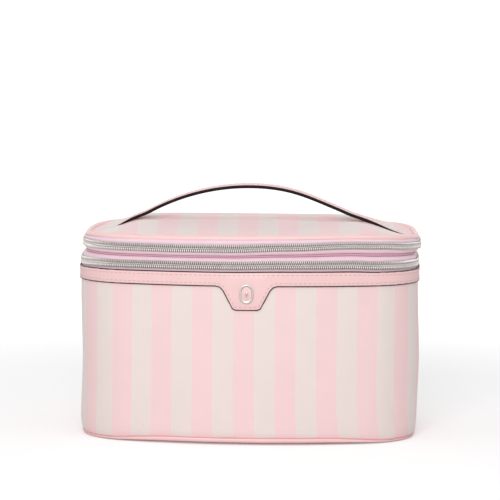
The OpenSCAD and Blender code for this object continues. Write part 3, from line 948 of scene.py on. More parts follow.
def height_at(points, x):
    """Height of a run of points at one place along it."""
    for a, b in zip(points, points[1:]):
        if a.x <= x <= b.x:
            return a.y + (b.y - a.y) * (x - a.x) / max(1e-9, b.x - a.x)
    return points[-1].y


def walk(points, pitch, first):
    """(place, direction) at every pitch along a run of points."""
    left = first
    for a, b in zip(points, points[1:]):
        span = (b - a).length
        while left <= span:
            yield a + (b - a) * left / span, (b - a).normalized()
            left += pitch
        left -= span


# ---- shape of the lid and the strap --------------------------------------------

# Folds across the lid: place and width in millimetres, height, and where its noise starts
FOLDS = (
    (-32, 9, 0.9, 5.0),
    (-19, 4.5, -2.0, 1.0),
    (-9, 5, 1.3, 2.0),
    (2, 5, -1.7, 3.0),
    (14, 7, 0.9, 4.0),
    (30, 8, -0.6, 8.0),
)
# The strap sinks into the padding from the first place to the second, and the cloth
# takes in its last stretch from the third; the fourth is where the cloth closes on it
LEFT_END = (86 * MM, 103 * MM, 104 * MM, 101 * MM)
RIGHT_END = (86 * MM, 116 * MM, 109 * MM, 118 * MM)


def end_of(x):
    """Places of the strap's end on the same side as x."""
    return LEFT_END if x < 0 else RIGHT_END


def crown(x, y):
    """Height of the lid's cloth: steep at the front and back, gentle at the ends."""
    curve = FRONT_CURVE if y < 0 else REAR_CURVE
    across = 1 - min(1.0, abs(y) / (HALF_DEPTH - CROWN_INSET)) ** curve
    along = 1 - ease((abs(x) - CROWN_END) / CROWN_SLOPE)
    rear = REAR_RISE * ease(y / (40 * MM)) * across
    return CROWN_EDGE + (CROWN_RISE * across + rear) * along


def creases(x, y, depth):
    """Folds that run across the lid between the ends of the strap, deepest beside them."""
    y += 2.5 * MM * math.sin(x * 42 + 0.6)
    across = ease((92 * MM - abs(x)) / (16 * MM))
    folds = 0.0
    for place, width, sign, seed in FOLDS:
        drift = 7 * MM * waver(x * 14, seed, 0.3)
        level = 0.6 + 0.7 * waver(x * 20, seed, 7.7)
        folds += sign * level * bell(y, place * MM + drift, width * MM)
    pinch = bell(y, -10 * MM, 4.5 * MM) - 0.5 * bell(y, -19 * MM, 6 * MM)
    folds -= 1.2 * bell(abs(x), 76 * MM, 20 * MM) * pinch
    closes = end_of(x)[3]
    beside = bell(abs(y), STRAP_WIDTH / 2, 3 * MM)
    plump = 0.85 * MM * ease((abs(x) - closes + 4 * MM) / (6 * MM)) * beside
    return depth * (across * folds + 0.3 * waver(x * 20, y * 26, 6.0)) + plump


def end_sag(x):
    """How far the lid has sunk beside one end, along the middle of its depth."""
    return rim_share(HALF_WIDTH - abs(x)) * sag(math.copysign(182 * MM, x), CROWN_EDGE)


def blend_of(a, b, width):
    """The larger of two heights, with a soft change from one to the other."""
    share = max(0.0, width - abs(a - b)) / width
    return max(a, b) + share * share * width / 4


def strap_end(x):
    """Grows from 0 to 1 over the last stretch of the strap, which the cloth takes in."""
    return ease((abs(x) - end_of(x)[2]) / LAST_STRETCH)


def strap_thinning(x):
    """Share of the strap's thickness that shows where its ends sink into the padding."""
    start, end = end_of(x)[:2]
    return 1 - 0.8 * ease((abs(x) - start) / (end - start)) - 0.12 * strap_end(x)


def strap_middle(x):
    """Height of the middle of the strap's thickness at a distance from its middle."""
    radius = ARCH_RADIUS - STRAP_THICKNESS / 2
    slump = SLUMP + RIGHT_SLUMP * bell(x, RIGHT_SLUMP_SPOT, RIGHT_SLUMP_SPREAD)
    arch = ARCH_CENTRE + math.sqrt(radius ** 2 - x * x) - slump
    laid = crown(x, 0) + end_sag(x) + (STRAP_THICKNESS / 2 - 0.1 * MM) * strap_thinning(x)
    laid -= 0.25 * MM * strap_end(x)
    return blend_of(arch, laid + 0.2 * MM, 4 * MM)


def strap_spot(x, y, lift):
    """Point of the strap: so far along, across and above the middle of its thickness."""
    step = 0.5 * MM
    rise = (strap_middle(x + step) - strap_middle(x - step)) / (2 * step)
    normal = Vector((-rise, 0, 1)).normalized()
    aside = TOP_LEAN * ease((abs(x) - 88 * MM) / (30 * MM))
    return Vector((x + aside, y, strap_middle(x))) + normal * lift * strap_thinning(x)


# ---- operators: the pieces ------------------------------------------------------------


class TRAINCASE_OT_stage(bpy.types.Operator):
    """Set up the camera, the soft light and the white floor"""

    bl_idname = "train_case.stage"
    bl_label = "Stage"

    def execute(self, context):
        scene = context.scene
        scene.view_settings.view_transform = "Standard"
        self.camera(scene)
        self.world(scene)
        self.floor()
        self.lamp(scene, "key light", (-0.15, -1.7, 0.75), 0.9, 11.8)
        return {"FINISHED"}

    def camera(self, scene):
        """A long lens a little to the right of the front and a little above."""
        target = Vector((-0.44, 0, 136.35)) * MM
        away = 2.0
        around, above, tilt = math.radians(1.94), math.radians(5.4), math.radians(0.455)
        level = math.cos(above)
        back = Vector((math.sin(around) * level, -math.cos(around) * level, math.sin(above)))
        data = bpy.data.cameras.new("camera")
        data.lens = 189.5
        data.sensor_width = 36
        camera = bpy.data.objects.new("camera", data)
        camera.rotation_mode = "QUATERNION"
        camera.location = target + back * away
        camera.rotation_quaternion = (-back).to_track_quat("-Z", "Y") @ Quaternion((0, 0, 1), tilt)
        scene.collection.objects.link(camera)
        scene.camera = camera

    def world(self, scene):
        """Even light all round, brighter where it is seen directly or mirrored."""
        world = bpy.data.worlds.new("studio")
        scene.world = world
        world.use_nodes = True
        tree = world.node_tree
        tree.nodes.clear()
        ray = node(tree, "LightPath").outputs
        seen = math_node(tree, "MAXIMUM", ray["Is Camera Ray"], ray["Is Glossy Ray"])
        strength = mapped(tree, seen, 0.67, 1.16)
        light = node(tree, "Background", {"Color": (1, 1, 1, 1), "Strength": strength})
        node(tree, "OutputWorld", {"Surface": light.outputs["Background"]})

    def floor(self):
        """A white sweep that is seen near the case only and fades out further away."""
        fade_start, fade_end = 0.3, 0.9
        put_down()
        bpy.ops.mesh.primitive_grid_add(x_subdivisions=8, y_subdivisions=8, size=8)
        floor = fresh("floor")
        material = bpy.data.materials.new("white floor")
        material.use_nodes = True
        tree = material.node_tree
        tree.nodes.clear()
        ray = node(tree, "LightPath").outputs
        soft = node(tree, "BsdfDiffuse", {"Color": (0.8, 0.8, 0.8, 1)})
        pale = node(tree, "BsdfDiffuse", {"Color": (0.97, 0.97, 0.97, 1)})
        glow = node(tree, "Emission", {"Color": (1, 1, 1, 1), "Strength": 0.2})
        lit = node(tree, "AddShader", {0: pale.outputs[0], 1: glow.outputs[0]})
        places = node(tree, "TexCoord")
        far = node(tree, "VectorMath", {0: places.outputs["Object"]}, operation="LENGTH")
        fade = mapped(tree, far.outputs["Value"], 0.0, 1.0, fade_start, fade_end, "SMOOTHSTEP")
        clear = node(tree, "BsdfTransparent")
        faded = node(tree, "MixShader", {0: fade, 1: lit.outputs[0], 2: clear.outputs[0]})
        shaders = {0: ray["Is Camera Ray"], 1: soft.outputs[0], 2: faded.outputs[0]}
        seen = node(tree, "MixShader", shaders)
        node(tree, "OutputMaterial", {"Surface": seen.outputs[0]})
        floor.data.materials.append(material)

    def lamp(self, scene, name, place, size, power):
        """A round soft lamp that points at the middle of the case."""
        data = bpy.data.lights.new(name, "AREA")
        data.shape = "DISK"
        data.size = size
        data.energy = power
        lamp = bpy.data.objects.new(name, data)
        lamp.location = place
        aim = Vector((0, 0, 0.1)) - lamp.location
        lamp.rotation_mode = "QUATERNION"
        lamp.rotation_quaternion = aim.to_track_quat("-Z", "Y")
        scene.collection.objects.link(lamp)


class TRAINCASE_OT_wall_cloth(bpy.types.Operator):
    """Sew the striped cloth round the body"""

    bl_idname = "train_case.wall_cloth"
    bl_label = "Wall cloth"

    def execute(self, context):
        slack = context.scene.train_case_sizes.slack
        rows = [(0.0, z) for z in steps(WALL_BOTTOM - 0.6 * MM, WALL_TOP, 56)]

        def loose(distance, inset, height):
            above = height - WALL_BOTTOM
            free = plateau(height, WALL_BOTTOM, 12 * MM, BAND_BOTTOM, 14 * MM)
            broad = waver(distance * 16, height * 9, 3.1)
            fine = waver(distance * 60, height * 14, 8.7)
            pucker = waver(distance * 190, 0.5, 1.2) * bell(above, 0, 5 * MM)
            inset += free * slack * (1.6 * broad + 0.5 * fine) + 0.3 * MM * pucker
            inset += self.dents(distance, height)
            inset += TURN_IN * (1 - ease(above / TURN_HEIGHT)) ** 2
            drop = CORNER_DROP * corner_share(distance) * (1 - ease(above / (16 * MM)))
            return inset, height - drop

        cloth = cloth_ring("wall_cloth", rows, STRIPED_THICKNESS, loose, across=self.fan)
        smooth(cloth)
        finish(cloth, "case", "wall stripes", ["body_wall"])
        filling = [(1.3 * MM, z) for z in steps(WALL_BOTTOM, TAPE_HEM - 0.3 * MM, 24)]
        foam = cloth_ring("wall_foam_sheet", filling, 2.2 * MM, columns=PLAIN_COLUMNS)
        finish(foam, "case", "foam", ["wall_foam"])
        return {"FINISHED"}

    def dents(self, distance, height):
        """Small dents: three under the band on the right and one long one low by the corner."""
        under = bell(height, BAND_BOTTOM - 6 * MM, 7 * MM)
        right = plateau(distance, 52 * MM, 10 * MM, 118 * MM, 12 * MM)
        row = math.sin(distance / (3.4 * MM) + height / (6 * MM))
        over = height - 26 * MM
        long_dent = bell(distance + 0.35 * over, 112 * MM, 3 * MM) * bell(over, 0, 13 * MM)
        return 0.28 * MM * under * right * row + 0.8 * MM * long_dent

    def fan(self, co):
        """The stripes spread a little where the cloth is gathered to the base."""
        spread = (1.0 * MM + 0.022 * co.x) * (1 - ease((abs(co.x) - 130 * MM) / (50 * MM)))
        return co.x - spread * math.exp(-max(0.0, co.z - WALL_BOTTOM) / (9 * MM)), co.z


class TRAINCASE_OT_base(bpy.types.Operator):
    """Sew the piping round the base and finish the layers of the bottom"""

    bl_idname = "train_case.base"
    bl_label = "Base and piping"

    def execute(self, context):
        self.piping(PIPING_BOTTOM + PIPING_RADIUS)
        self.hem_shade(PIPING_BOTTOM + 2 * PIPING_RADIUS)
        bottom, top = low("base_panel").z, high("base_panel").z
        panel = flat_sheet("base_underside", 6 * MM, lambda *place: top, 24, top - bottom)
        finish(panel, "case", "piping leather", ["base_panel"])
        return {"FINISHED"}

    def drop(self, distance, radii):
        """How much lower the piping lies at the corners, where it is drawn in."""
        return (0.85 * PIPING_LIFT + radii * PIPING_RADIUS) * corner_share(distance)

    def piping(self, middle):
        """A slack roll with a groove along its seam, thinner at the corners."""
        seam_angle = math.radians(200 - 360)

        def loose(co):
            across = math.atan2(co.z - middle, co.y - PIPING_INSET)
            groove = bell(across, seam_angle, 0.16)
            wobble = waver(co.x * 45, across, 2.0)
            thinned = 1 - 0.36 * corner_share(co.x)
            grow = (0.88 - 0.09 * groove + 0.05 * wobble) * thinned
            y = PIPING_INSET + (co.y - PIPING_INSET) * grow
            z = middle - self.drop(co.x, 0.42) + (co.z - middle) * grow
            return Vector((co.x, y, max(z, 0.3 * MM)))

        piping = roll("base_piping", PIPING_INSET, middle, PIPING_RADIUS, 24, loose)
        finish(piping, "case", "piping leather", ["bottom_piping"])

    def hem_shade(self, top):
        """The puckered turn of the cloth where it meets the piping, coloured darker pink as painted shade
        of the seam.
        """

        def loose(co):
            pucker = 0.5 * MM * waver(co.x * 160, 3.0, 1.0)
            return Vector((co.x, co.y, co.z - self.drop(co.x, 0.84) + pucker))

        # The roll's darker pink is painted shade of the seam
        hem_shade = roll("base_hem_shade", 0.7 * MM, top - 0.45 * MM, 0.42 * MM, 10, loose)
        finish(hem_shade, "case", "hem_shade")


class TRAINCASE_OT_trim_band(bpy.types.Operator):
    """Cut the leather band with its tab, paint its edges and stitch it on"""

    bl_idname = "train_case.trim_band"
    bl_label = "Trim band"

    def execute(self, context):
        sizes = context.scene.train_case_sizes
        self.band()
        self.edges(sizes.edge_bead)
        self.stitches(sizes)
        return {"FINISHED"}

    def columns(self):
        """Places along the band, close together where the tab's outline turns."""
        near = [p.x for p in band_edge(0)]
        near += steps(0, TAB_FOOT - TAB_CORNER, 4)[1:]
        near += steps(TAB_SHOULDER - 7 * MM, TAB_FOOT + 1 * MM, 8)
        far = steps(TAB_REACH, HALF_ROUND, PLAIN_COLUMNS)
        right = sorted({round(x, 6) for x in near + far if x >= 0})
        return [-x for x in reversed(right) if x > 0] + right

    def band(self):
        """The leather, cut to the outline of its lower edge."""
        columns = self.columns()
        edge = band_edge(0)
        band = grid("leather_band", len(columns) - 1, 4, UPRIGHT)

        def rule(co):
            column = columns[round((co.x + 0.5) * (len(columns) - 1))]
            bottom = height_at(edge, abs(column))
            return Vector((column, -CLEAR, bottom + (co.z + 0.5) * (BAND_TOP - bottom)))

        shape(band, rule)
        unroll(band)
        wrap(band)
        weld(band)
        thicken(band, BAND_THICKNESS, 1, even=True)
        soften(band, 0.3 * MM, 2, 50)
        smooth(band, 40)
        finish(band, "case", "pink leather", ["trim_band"])

    def edges(self, radius):
        """Beads of paint along the upper and the lower edge."""
        inset = 0.2 * MM
        right = band_edge(inset)
        far = [Vector((x, right[-1].y)) for x in steps(right[-1].x, HALF_ROUND, PLAIN_COLUMNS)[1:]]
        top = [Vector((x, BAND_TOP - inset)) for x in steps(-HALF_ROUND, HALF_ROUND, RING_COLUMNS)]
        lower = self.bead("painted_edge", both_halves(right + far), radius)
        edges = join(lower, self.bead("upper_edge", top, radius))
        wrap(edges)
        weld(edges)
        smooth(edges, 80)
        finish(edges, "case", "edge paint")

    def bead(self, name, path, radius):
        """A bead of paint along a path on the face of the band."""
        out = CLEAR + BAND_THICKNESS / 2
        last = len(path) - 1
        piece = tube(name, 10, radius, 1)
        cut(piece, last - 1)

        def rule(co):
            place = round((co.x + 0.5) * last)
            here = path[place]
            way = (path[min(place + 1, last)] - path[max(place - 1, 0)]).normalized()
            return Vector((here.x - way.y * co.z, -out + co.y * 1.25, here.y + way.x * co.z))

        shape(piece, rule)
        unroll(piece)
        return piece

    def stitches(self, sizes):
        """Two rows of thread, one along each edge."""
        right = band_edge(sizes.stitch_inset)
        lower = both_halves(right + [Vector((HALF_ROUND, right[-1].y))])
        line = BAND_TOP - sizes.stitch_inset
        upper = [Vector((-HALF_ROUND, line)), Vector((HALF_ROUND, line))]
        out = CLEAR + BAND_THICKNESS + 0.03 * MM
        places = []
        for points in (lower, upper):
            for place, way in walk(points, sizes.stitch_pitch, sizes.stitch):
                turn = Matrix.Rotation(-math.atan2(way.y, way.x), 4, "Y")
                places.append(Matrix.Translation((place.x, -out, place.y)) @ turn)
        rows = repeat("band_stitches", stitch(sizes.stitch, 0.2 * MM, 0.24 * MM), places)
        wrap(rows)
        smooth(rows, 80)
        unroll(rows)
        finish(rows, "case", "thread")


class TRAINCASE_OT_badge(bpy.types.Operator):
    """Make the plain oval badge"""

    bl_idname = "train_case.badge"
    bl_label = "Badge"

    def execute(self, context):
        corner, opposite = low("badge"), high("badge")
        middle = Vector((0, corner.y, (corner.z + opposite.z) / 2))
        radius = (opposite.x - corner.x) / 2
        longer = (opposite.z - corner.z) / 2 - radius
        self.rim(middle, radius, longer)
        field = middle + Vector((0, 0.62 * MM, 0))
        self.enamel(field, radius - 1.25 * MM, longer)
        self.lozenge(field)
        return {"FINISHED"}

    def rim(self, middle, radius, longer):
        """The metal oval, hollowed out for the enamel."""
        deep = 1.2 * MM
        place = middle + Vector((0, deep / 2, 0))
        put_down()
        bpy.ops.mesh.primitive_cylinder_add(
            vertices=48, radius=radius, depth=deep, location=place, rotation=UPRIGHT
        )
        badge = fresh("oval_badge")

        def rule(co):
            up = co.z - middle.z
            stretch = math.copysign(longer, up) if abs(up) > 1e-6 else 0.0
            return Vector((co.x, co.y, co.z + stretch))

        shape(badge, rule)
        choose_faces(badge, lambda centre, normal: normal.y < -0.9)
        bpy.ops.mesh.inset(thickness=1.15 * MM, depth=0)
        bpy.ops.mesh.inset(thickness=0.15 * MM, depth=-0.6 * MM)
        put_down()
        soften(badge, 0.22 * MM, 3, 40)
        weld(badge, 0.001 * MM)
        smooth(badge, 40)
        finish(badge, "case", "plated metal", ["badge"])

    def enamel(self, place, radius, longer):
        """Pink enamel that fills the rim, a little domed."""
        put_down()
        bpy.ops.mesh.primitive_uv_sphere_add(segments=40, ring_count=16, radius=1, rotation=UPRIGHT)
        enamel = fresh("badge_enamel")
        dome = 0.28 * MM

        def rule(co):
            up = co.z * (radius + longer) * (1 - 0.06 * abs(co.z))
            return place + Vector((co.x * radius, co.y * dome, up))

        shape(enamel, rule)
        smooth(enamel, 80)
        finish(enamel, "case", "enamel")

    def lozenge(self, place):
        """A small faceted lozenge in the middle."""
        half_width, height, half_length, proud = 1.7 * MM, 0.5 * MM, 3.2 * MM, 0.3 * MM
        put_down()
        bpy.ops.mesh.primitive_cone_add(vertices=4, radius1=1, radius2=0.35, depth=1, rotation=UPRIGHT)
        lozenge = fresh("badge_lozenge")

        def rule(co):
            return place + Vector((co.x * half_width, co.y * height - proud, co.z * half_length))

        shape(lozenge, rule)
        soften(lozenge, 0.12 * MM, 2, 25)
        smooth(lozenge, 30)
        finish(lozenge, "case", "plated metal")


class TRAINCASE_OT_zips(bpy.types.Operator):
    """Weave the four zip tapes and set the four rows of teeth"""

    bl_idname = "train_case.zips"
    bl_label = "Zips"

    def execute(self, context):
        pitch = context.scene.train_case_sizes.tooth_pitch
        half = COIL_WIDTH / 2
        straight = [(TAPE_INSET, z) for z in steps(TAPE_HEM, LOWER_ZIP - TAPE_SPLIT, 8)]
        under = self.fold(LOWER_ZIP, half, FOLD_DEPTH, SEAM - SEAM_GAP)
        over = self.fold(UPPER_ZIP, -half, FOLD_DEPTH, SEAM + SEAM_GAP)
        to_lid = self.fold(UPPER_ZIP, half, LID_FOLD, BINDING_SEAM)
        self.tape("case", "lower_zip_lower_tape", straight)
        self.tape("tray", "lower_zip_upper_tape", under)
        self.tape("tray", "upper_zip_lower_tape", over[::-1])
        self.tape("lid", "upper_zip_upper_tape", to_lid)
        rows = (
            ("case", "lower_zip_lower_teeth", LOWER_ZIP, -1),
            ("tray", "lower_zip_upper_teeth", LOWER_ZIP, 1),
            ("tray", "upper_zip_lower_teeth", UPPER_ZIP, -1),
            ("lid", "upper_zip_upper_teeth", UPPER_ZIP, 1),
        )
        for body, name, middle, side in rows:
            self.teeth(body, name, middle, side, pitch)
            self.shaded_cord(body, name, middle, side)
        self.stops("case", "lower_zip_end_stops", LOWER_ZIP)
        self.stops("tray", "upper_zip_end_stops", UPPER_ZIP)
        return {"FINISHED"}

    def fold(self, middle, reach, depth, seam):
        """Profile of a tape from beside the teeth to where it turns in to a seam."""
        knee = middle + reach
        start = middle + math.copysign(TAPE_SPLIT, reach)
        rows = [(TAPE_INSET, z) for z in steps(start, knee, 3)]
        for share in steps(0, 1, 8)[1:]:
            bulge = math.sin(math.pi * share) * 0.3 * MM
            inset = TAPE_INSET + (depth - TAPE_INSET) * share ** 2 - bulge
            rows.append((inset, knee + (seam - knee) * share))
        return rows

    def tape(self, body, name, profile):
        """One woven tape, its profile given from the bottom up."""

        def loose(distance, inset, height):
            return inset + 0.12 * MM * waver(distance * 30, height * 40, 5.5), height

        run = (-ZIP_END, ZIP_END, ZIP_COLUMNS)
        tape = cloth_strip(name + "_cloth", profile, *run, TAPE_THICKNESS, loose)
        weld(tape)
        smooth(tape)
        finish(tape, body, "zip tape", [name])

    def tooth(self, side):
        """One tooth: a slanted leg with a waist, and a head that meets the other row."""
        leg = COIL_WIDTH / 2
        lean = 0.5 * MM
        overlap = 0.25 * MM
        tooth = cube("tooth", (0, 0, leg / 2), (0.92 * MM, COIL_DEPTH * 0.85, leg))
        cut(tooth, 3, axis=2)
        round_off(tooth, 0.28 * MM, 1, axis=2)

        def rule(co):
            share = co.z / leg
            tip = ease((0.12 - share) / 0.12) + ease((share - 0.88) / 0.12)
            sink = 0.75 * MM * bell(share, 0.27, 0.13) + 0.3 * MM * tip
            wide = (1 + 0.22 * ease((0.3 - share) / 0.3)) * (1 - 0.25 * tip)
            y = co.y + sink if co.y < 0 else co.y
            return Vector((co.x * wide + lean * share, y, side * (co.z - overlap)))

        shape(tooth, rule)
        return tooth

    def teeth(self, body, name, middle, side, pitch):
        """A row of teeth, below the zip's middle for side -1 and above it for side 1."""
        count = int(2 * ZIP_END / pitch) - 1
        first = -pitch * (count - 1) / 2 + (pitch / 4) * side
        depth = -COIL_PROUD + COIL_DEPTH / 2
        places = [Matrix.Translation((first + pitch * i, depth, middle)) for i in range(count)]
        teeth = repeat(name + "_coil", self.tooth(side), places)
        wrap(teeth)
        if side < 0:
            weld(teeth, 0.001 * MM)
        smooth(teeth, 45)
        finish(teeth, body, "zip teeth", [name])

    def shaded_cord(self, body, name, middle, side):
        """The cord inside a row's coil, coloured dark grey as painted shade inside the coil."""
        near = -COIL_PROUD + 0.95 * MM
        heights = (middle + side * 0.55 * MM, middle + side * (COIL_WIDTH / 2 - 0.35 * MM))
        insets = (near, near + 0.7 * MM)
        shaded_cord = bar(name + "_shaded_cord", insets, heights, (-ZIP_END, ZIP_END), ZIP_COLUMNS, 0.2 * MM)
        wrap(shaded_cord)
        smooth(shaded_cord, 50)
        finish(shaded_cord, body, "shaded coil cord")

    def stops(self, body, name, middle):
        """A small metal clamp at each end of a lower row."""
        insets = (-COIL_PROUD - 0.5 * MM, -COIL_PROUD + 0.6 * MM)
        heights = (middle - COIL_WIDTH / 2, middle - 0.4 * MM)
        near, far = ZIP_END - 1.6 * MM, ZIP_END - 0.1 * MM
        left = bar(name + "_clamps", insets, heights, (-far, -near), 4, 0.3 * MM)
        stops = join(left, bar("clamp", insets, heights, (near, far), 4, 0.3 * MM))
        wrap(stops)
        soften(stops, 0.12 * MM, 2, 50)
        smooth(stops, 50)
        finish(stops, body, "plated metal", [name])


class TRAINCASE_OT_hinge_cloth(bpy.types.Operator):
    """Sew the two folds of striped cloth that hinge the tray and the lid at the back"""

    bl_idname = "train_case.hinge_cloth"
    bl_label = "Back hinge cloth"

    def execute(self, context):
        lower = self.profile((0.0, BAND_TOP - 0.5 * MM), LOWER_ZIP, (FOLD_DEPTH, SEAM - SEAM_GAP))
        upper = self.profile((FOLD_DEPTH, SEAM + SEAM_GAP), UPPER_ZIP, (LID_FOLD, BINDING_SEAM))
        self.cloth("hinge_cloth_lower", ("case", "tray"), lower, LOWER_ZIP, ["back_hinge_lower"])
        nodes = ["back_hinge_middle", "back_hinge_upper"]
        self.cloth("hinge_cloth_upper", ("tray", "lid"), upper, UPPER_ZIP, nodes)
        return {"FINISHED"}

    def profile(self, bottom, middle, top):
        """Upright beside the zip, turned in to the (inset, height) at the bottom and the top."""
        knee, shoulder = middle - COIL_WIDTH / 2, middle + COIL_WIDTH / 2
        rows = []
        for share in steps(0, 1, 6)[:-1]:
            rows.append((bottom[0] * (1 - share) ** 1.6, bottom[1] + (knee - bottom[1]) * share))
        rows += [(0.0, z) for z in steps(knee, shoulder, 12)]
        for share in steps(0, 1, 6)[1:]:
            rows.append((top[0] * share ** 1.6, shoulder + (top[1] - shoulder) * share))
        return rows

    def cloth(self, name, bodies, profile, middle, nodes):
        """Laid from the left end of the zips, over the back, to the right end."""
        start = ZIP_END + 0.3 * MM
        left = cloth_strip(name, profile, -HALF_ROUND, -start, 60)
        cloth = join(left, cloth_strip(name, profile, start, HALF_ROUND, 60))
        weld(cloth)
        thicken(cloth, 1.0 * MM, even=True)
        smooth(cloth)
        foot = (0, HALF_DEPTH, middle - COIL_WIDTH / 2)
        head = (0, HALF_DEPTH, middle + COIL_WIDTH / 2)
        finish(cloth, (*bodies, foot, head), "wall stripes", nodes)


class TRAINCASE_OT_seam(bpy.types.Operator):
    """Make the welt between the zips and the divider sewn into it"""

    bl_idname = "train_case.seam"
    bl_label = "Seam and divider"

    def execute(self, context):
        heights = (low("divider_seam_welt").z, high("divider_seam_welt").z)
        # The welt is coloured darker pink as painted shade of the fold between the zips
        shaded_welt = bar_ring("seam_welt", (FOLD_DEPTH - 0.3 * MM, 5.7 * MM), heights, 0.5 * MM)
        finish(shaded_welt, "tray", "shaded welt tape", ["divider_seam_welt"])
        bottom, top = low("divider_board").z, high("divider_board").z
        board = flat_sheet("divider_board_sheet", 5.6 * MM, lambda *place: top, 24, top - bottom)
        finish(board, "tray", "board", ["divider_board"])
        self.lining("divider_under_lining", low("divider_under_lining").z, -1)
        self.lining("divider_top_lining", high("divider_top_lining").z, 1)
        return {"FINISHED"}

    def lining(self, node_name, face, side):
        """Cloth over the divider's board, a little loose."""

        def level(x, y, inset, distance):
            wave = waver(x * 22, y * 22, side * 4.0)
            lift = 0.7 * MM * max(0.0, 0.5 + wave) * loose_share(inset)
            return face + side * lift

        cloth = flat_sheet(node_name + "_cloth", 4.8 * MM, level, 36, LINING_THICKNESS, side)
        finish(cloth, "tray", "lining cloth", [node_name])


class TRAINCASE_OT_lining(bpy.types.Operator):
    """Make the lining of the main compartment and the tape over its seam"""

    bl_idname = "train_case.lining"
    bl_label = "Main lining"

    def execute(self, context):
        floor = low("main_lining").z + 0.6 * MM
        mouth = high("main_lining").z
        self.lining(floor, mouth)
        heights = (low("main_seam_binding").z, high("main_seam_binding").z)
        # This tape takes the welt's darker pink, which is painted shade
        tape = bar_ring("seam_binding_tape", (2.0 * MM, 4.4 * MM), heights, 0.5 * MM)
        finish(tape, "case", "shaded welt tape", ["main_seam_binding"])
        return {"FINISHED"}

    def profile(self, floor, mouth):
        """From the middle of the floor, round its corner and up to the mouth."""
        inset = 3.8 * MM
        radius = 5 * MM
        rows = [(depth, floor) for depth in steps(HALF_DEPTH, inset + radius, 30)[:-1]]
        for turn in steps(math.pi / 2, 0, 6)[:-1]:
            depth, rise = radius * (1 - math.cos(turn)), radius * (1 - math.sin(turn))
            rows.append((inset + depth, floor + rise))
        return rows + [(inset, z) for z in steps(floor + radius, mouth, 40)]

    def lining(self, floor, mouth):
        """Cloth that hangs a little loose from the mouth and faces inwards."""

        def loose(distance, inset, height):
            wave = waver(distance * 28, height * 12, 1.0)
            free = plateau(height, floor, 20 * MM, mouth, 15 * MM)
            return inset + 0.9 * MM * free * max(0.0, wave + 0.25), height

        rows = self.profile(floor, mouth)
        cloth = cloth_ring("compartment_lining", rows, 0.0, loose, 240)
        edit(cloth, "FACE")
        bpy.ops.mesh.select_all(action="SELECT")
        bpy.ops.mesh.normals_make_consistent(inside=True)
        put_down()
        thicken(cloth, 0.5 * MM)
        smooth(cloth)
        finish(cloth, "case", "lining cloth", ["main_lining"])


class TRAINCASE_OT_lid(bpy.types.Operator):
    """Make the padded lid: its striped cloth, the binding round it and its lining"""

    bl_idname = "train_case.lid"
    bl_label = "Lid"

    def execute(self, context):
        crease = context.scene.train_case_sizes.crease
        self.cloth(crease)
        self.foam(crease)
        self.binding()
        self.lining()
        return {"FINISHED"}

    def cloth(self, crease):
        """The crowned outer cloth, tucked in along the binding."""

        def level(x, y, inset, distance):
            free = ease((inset - CROWN_INSET) / (9 * MM))
            tuck = ease((CROWN_INSET - inset) / (2 * MM))
            return crown(x, y) + free * creases(x, y, crease) - 0.8 * MM * tuck

        cloth = flat_sheet("lid_cloth", BINDING_INSET, level, 60, STRIPED_THICKNESS, 1, RING_COLUMNS)
        finish(cloth, "lid", "lid stripes", ["lid_panel"])

    def foam(self, crease):
        """The padding, a little below the cloth."""

        def level(x, y, inset, distance):
            return crown(x, y) + creases(x, y, crease) - 1.1 * MM

        sheet = flat_sheet("lid_foam_sheet", CROWN_INSET + 7 * MM, level, 40, 0.9 * MM)
        finish(sheet, "lid", "foam", ["lid_foam"])

    def binding(self):
        """The rolled edge between the lid's cloth and its zip."""

        def loose(co):
            wobble = waver(co.x * 35, co.z * 90, 4.0)
            return Vector((co.x, co.y + 0.12 * MM * wobble, co.z + 0.1 * MM * wobble))

        binding = roll("lid_edge_binding", BINDING_INSET, BINDING_MIDDLE, BINDING_RADIUS, 20, loose)
        finish(binding, "lid", "piping leather", ["lid_binding"])

    def lining(self):
        """Cloth under the padding, which sags with the lid's edge."""
        face = low("lid_lining").z

        def level(x, y, inset, distance):
            wave = waver(x * 20, y * 20, 9.0)
            drop = 0.8 * MM * max(0.0, 0.4 + wave) * loose_share(inset)
            near = rim_share(inset) * ease((inset - 5 * MM) / (6 * MM))
            return face - drop + near * (sag(distance, CROWN_EDGE) - sag(distance, face))

        cloth = flat_sheet("lid_lining_cloth", 4.9 * MM, level, 36, LINING_THICKNESS, -1)
        finish(cloth, "lid", "lining cloth", ["lid_lining"])


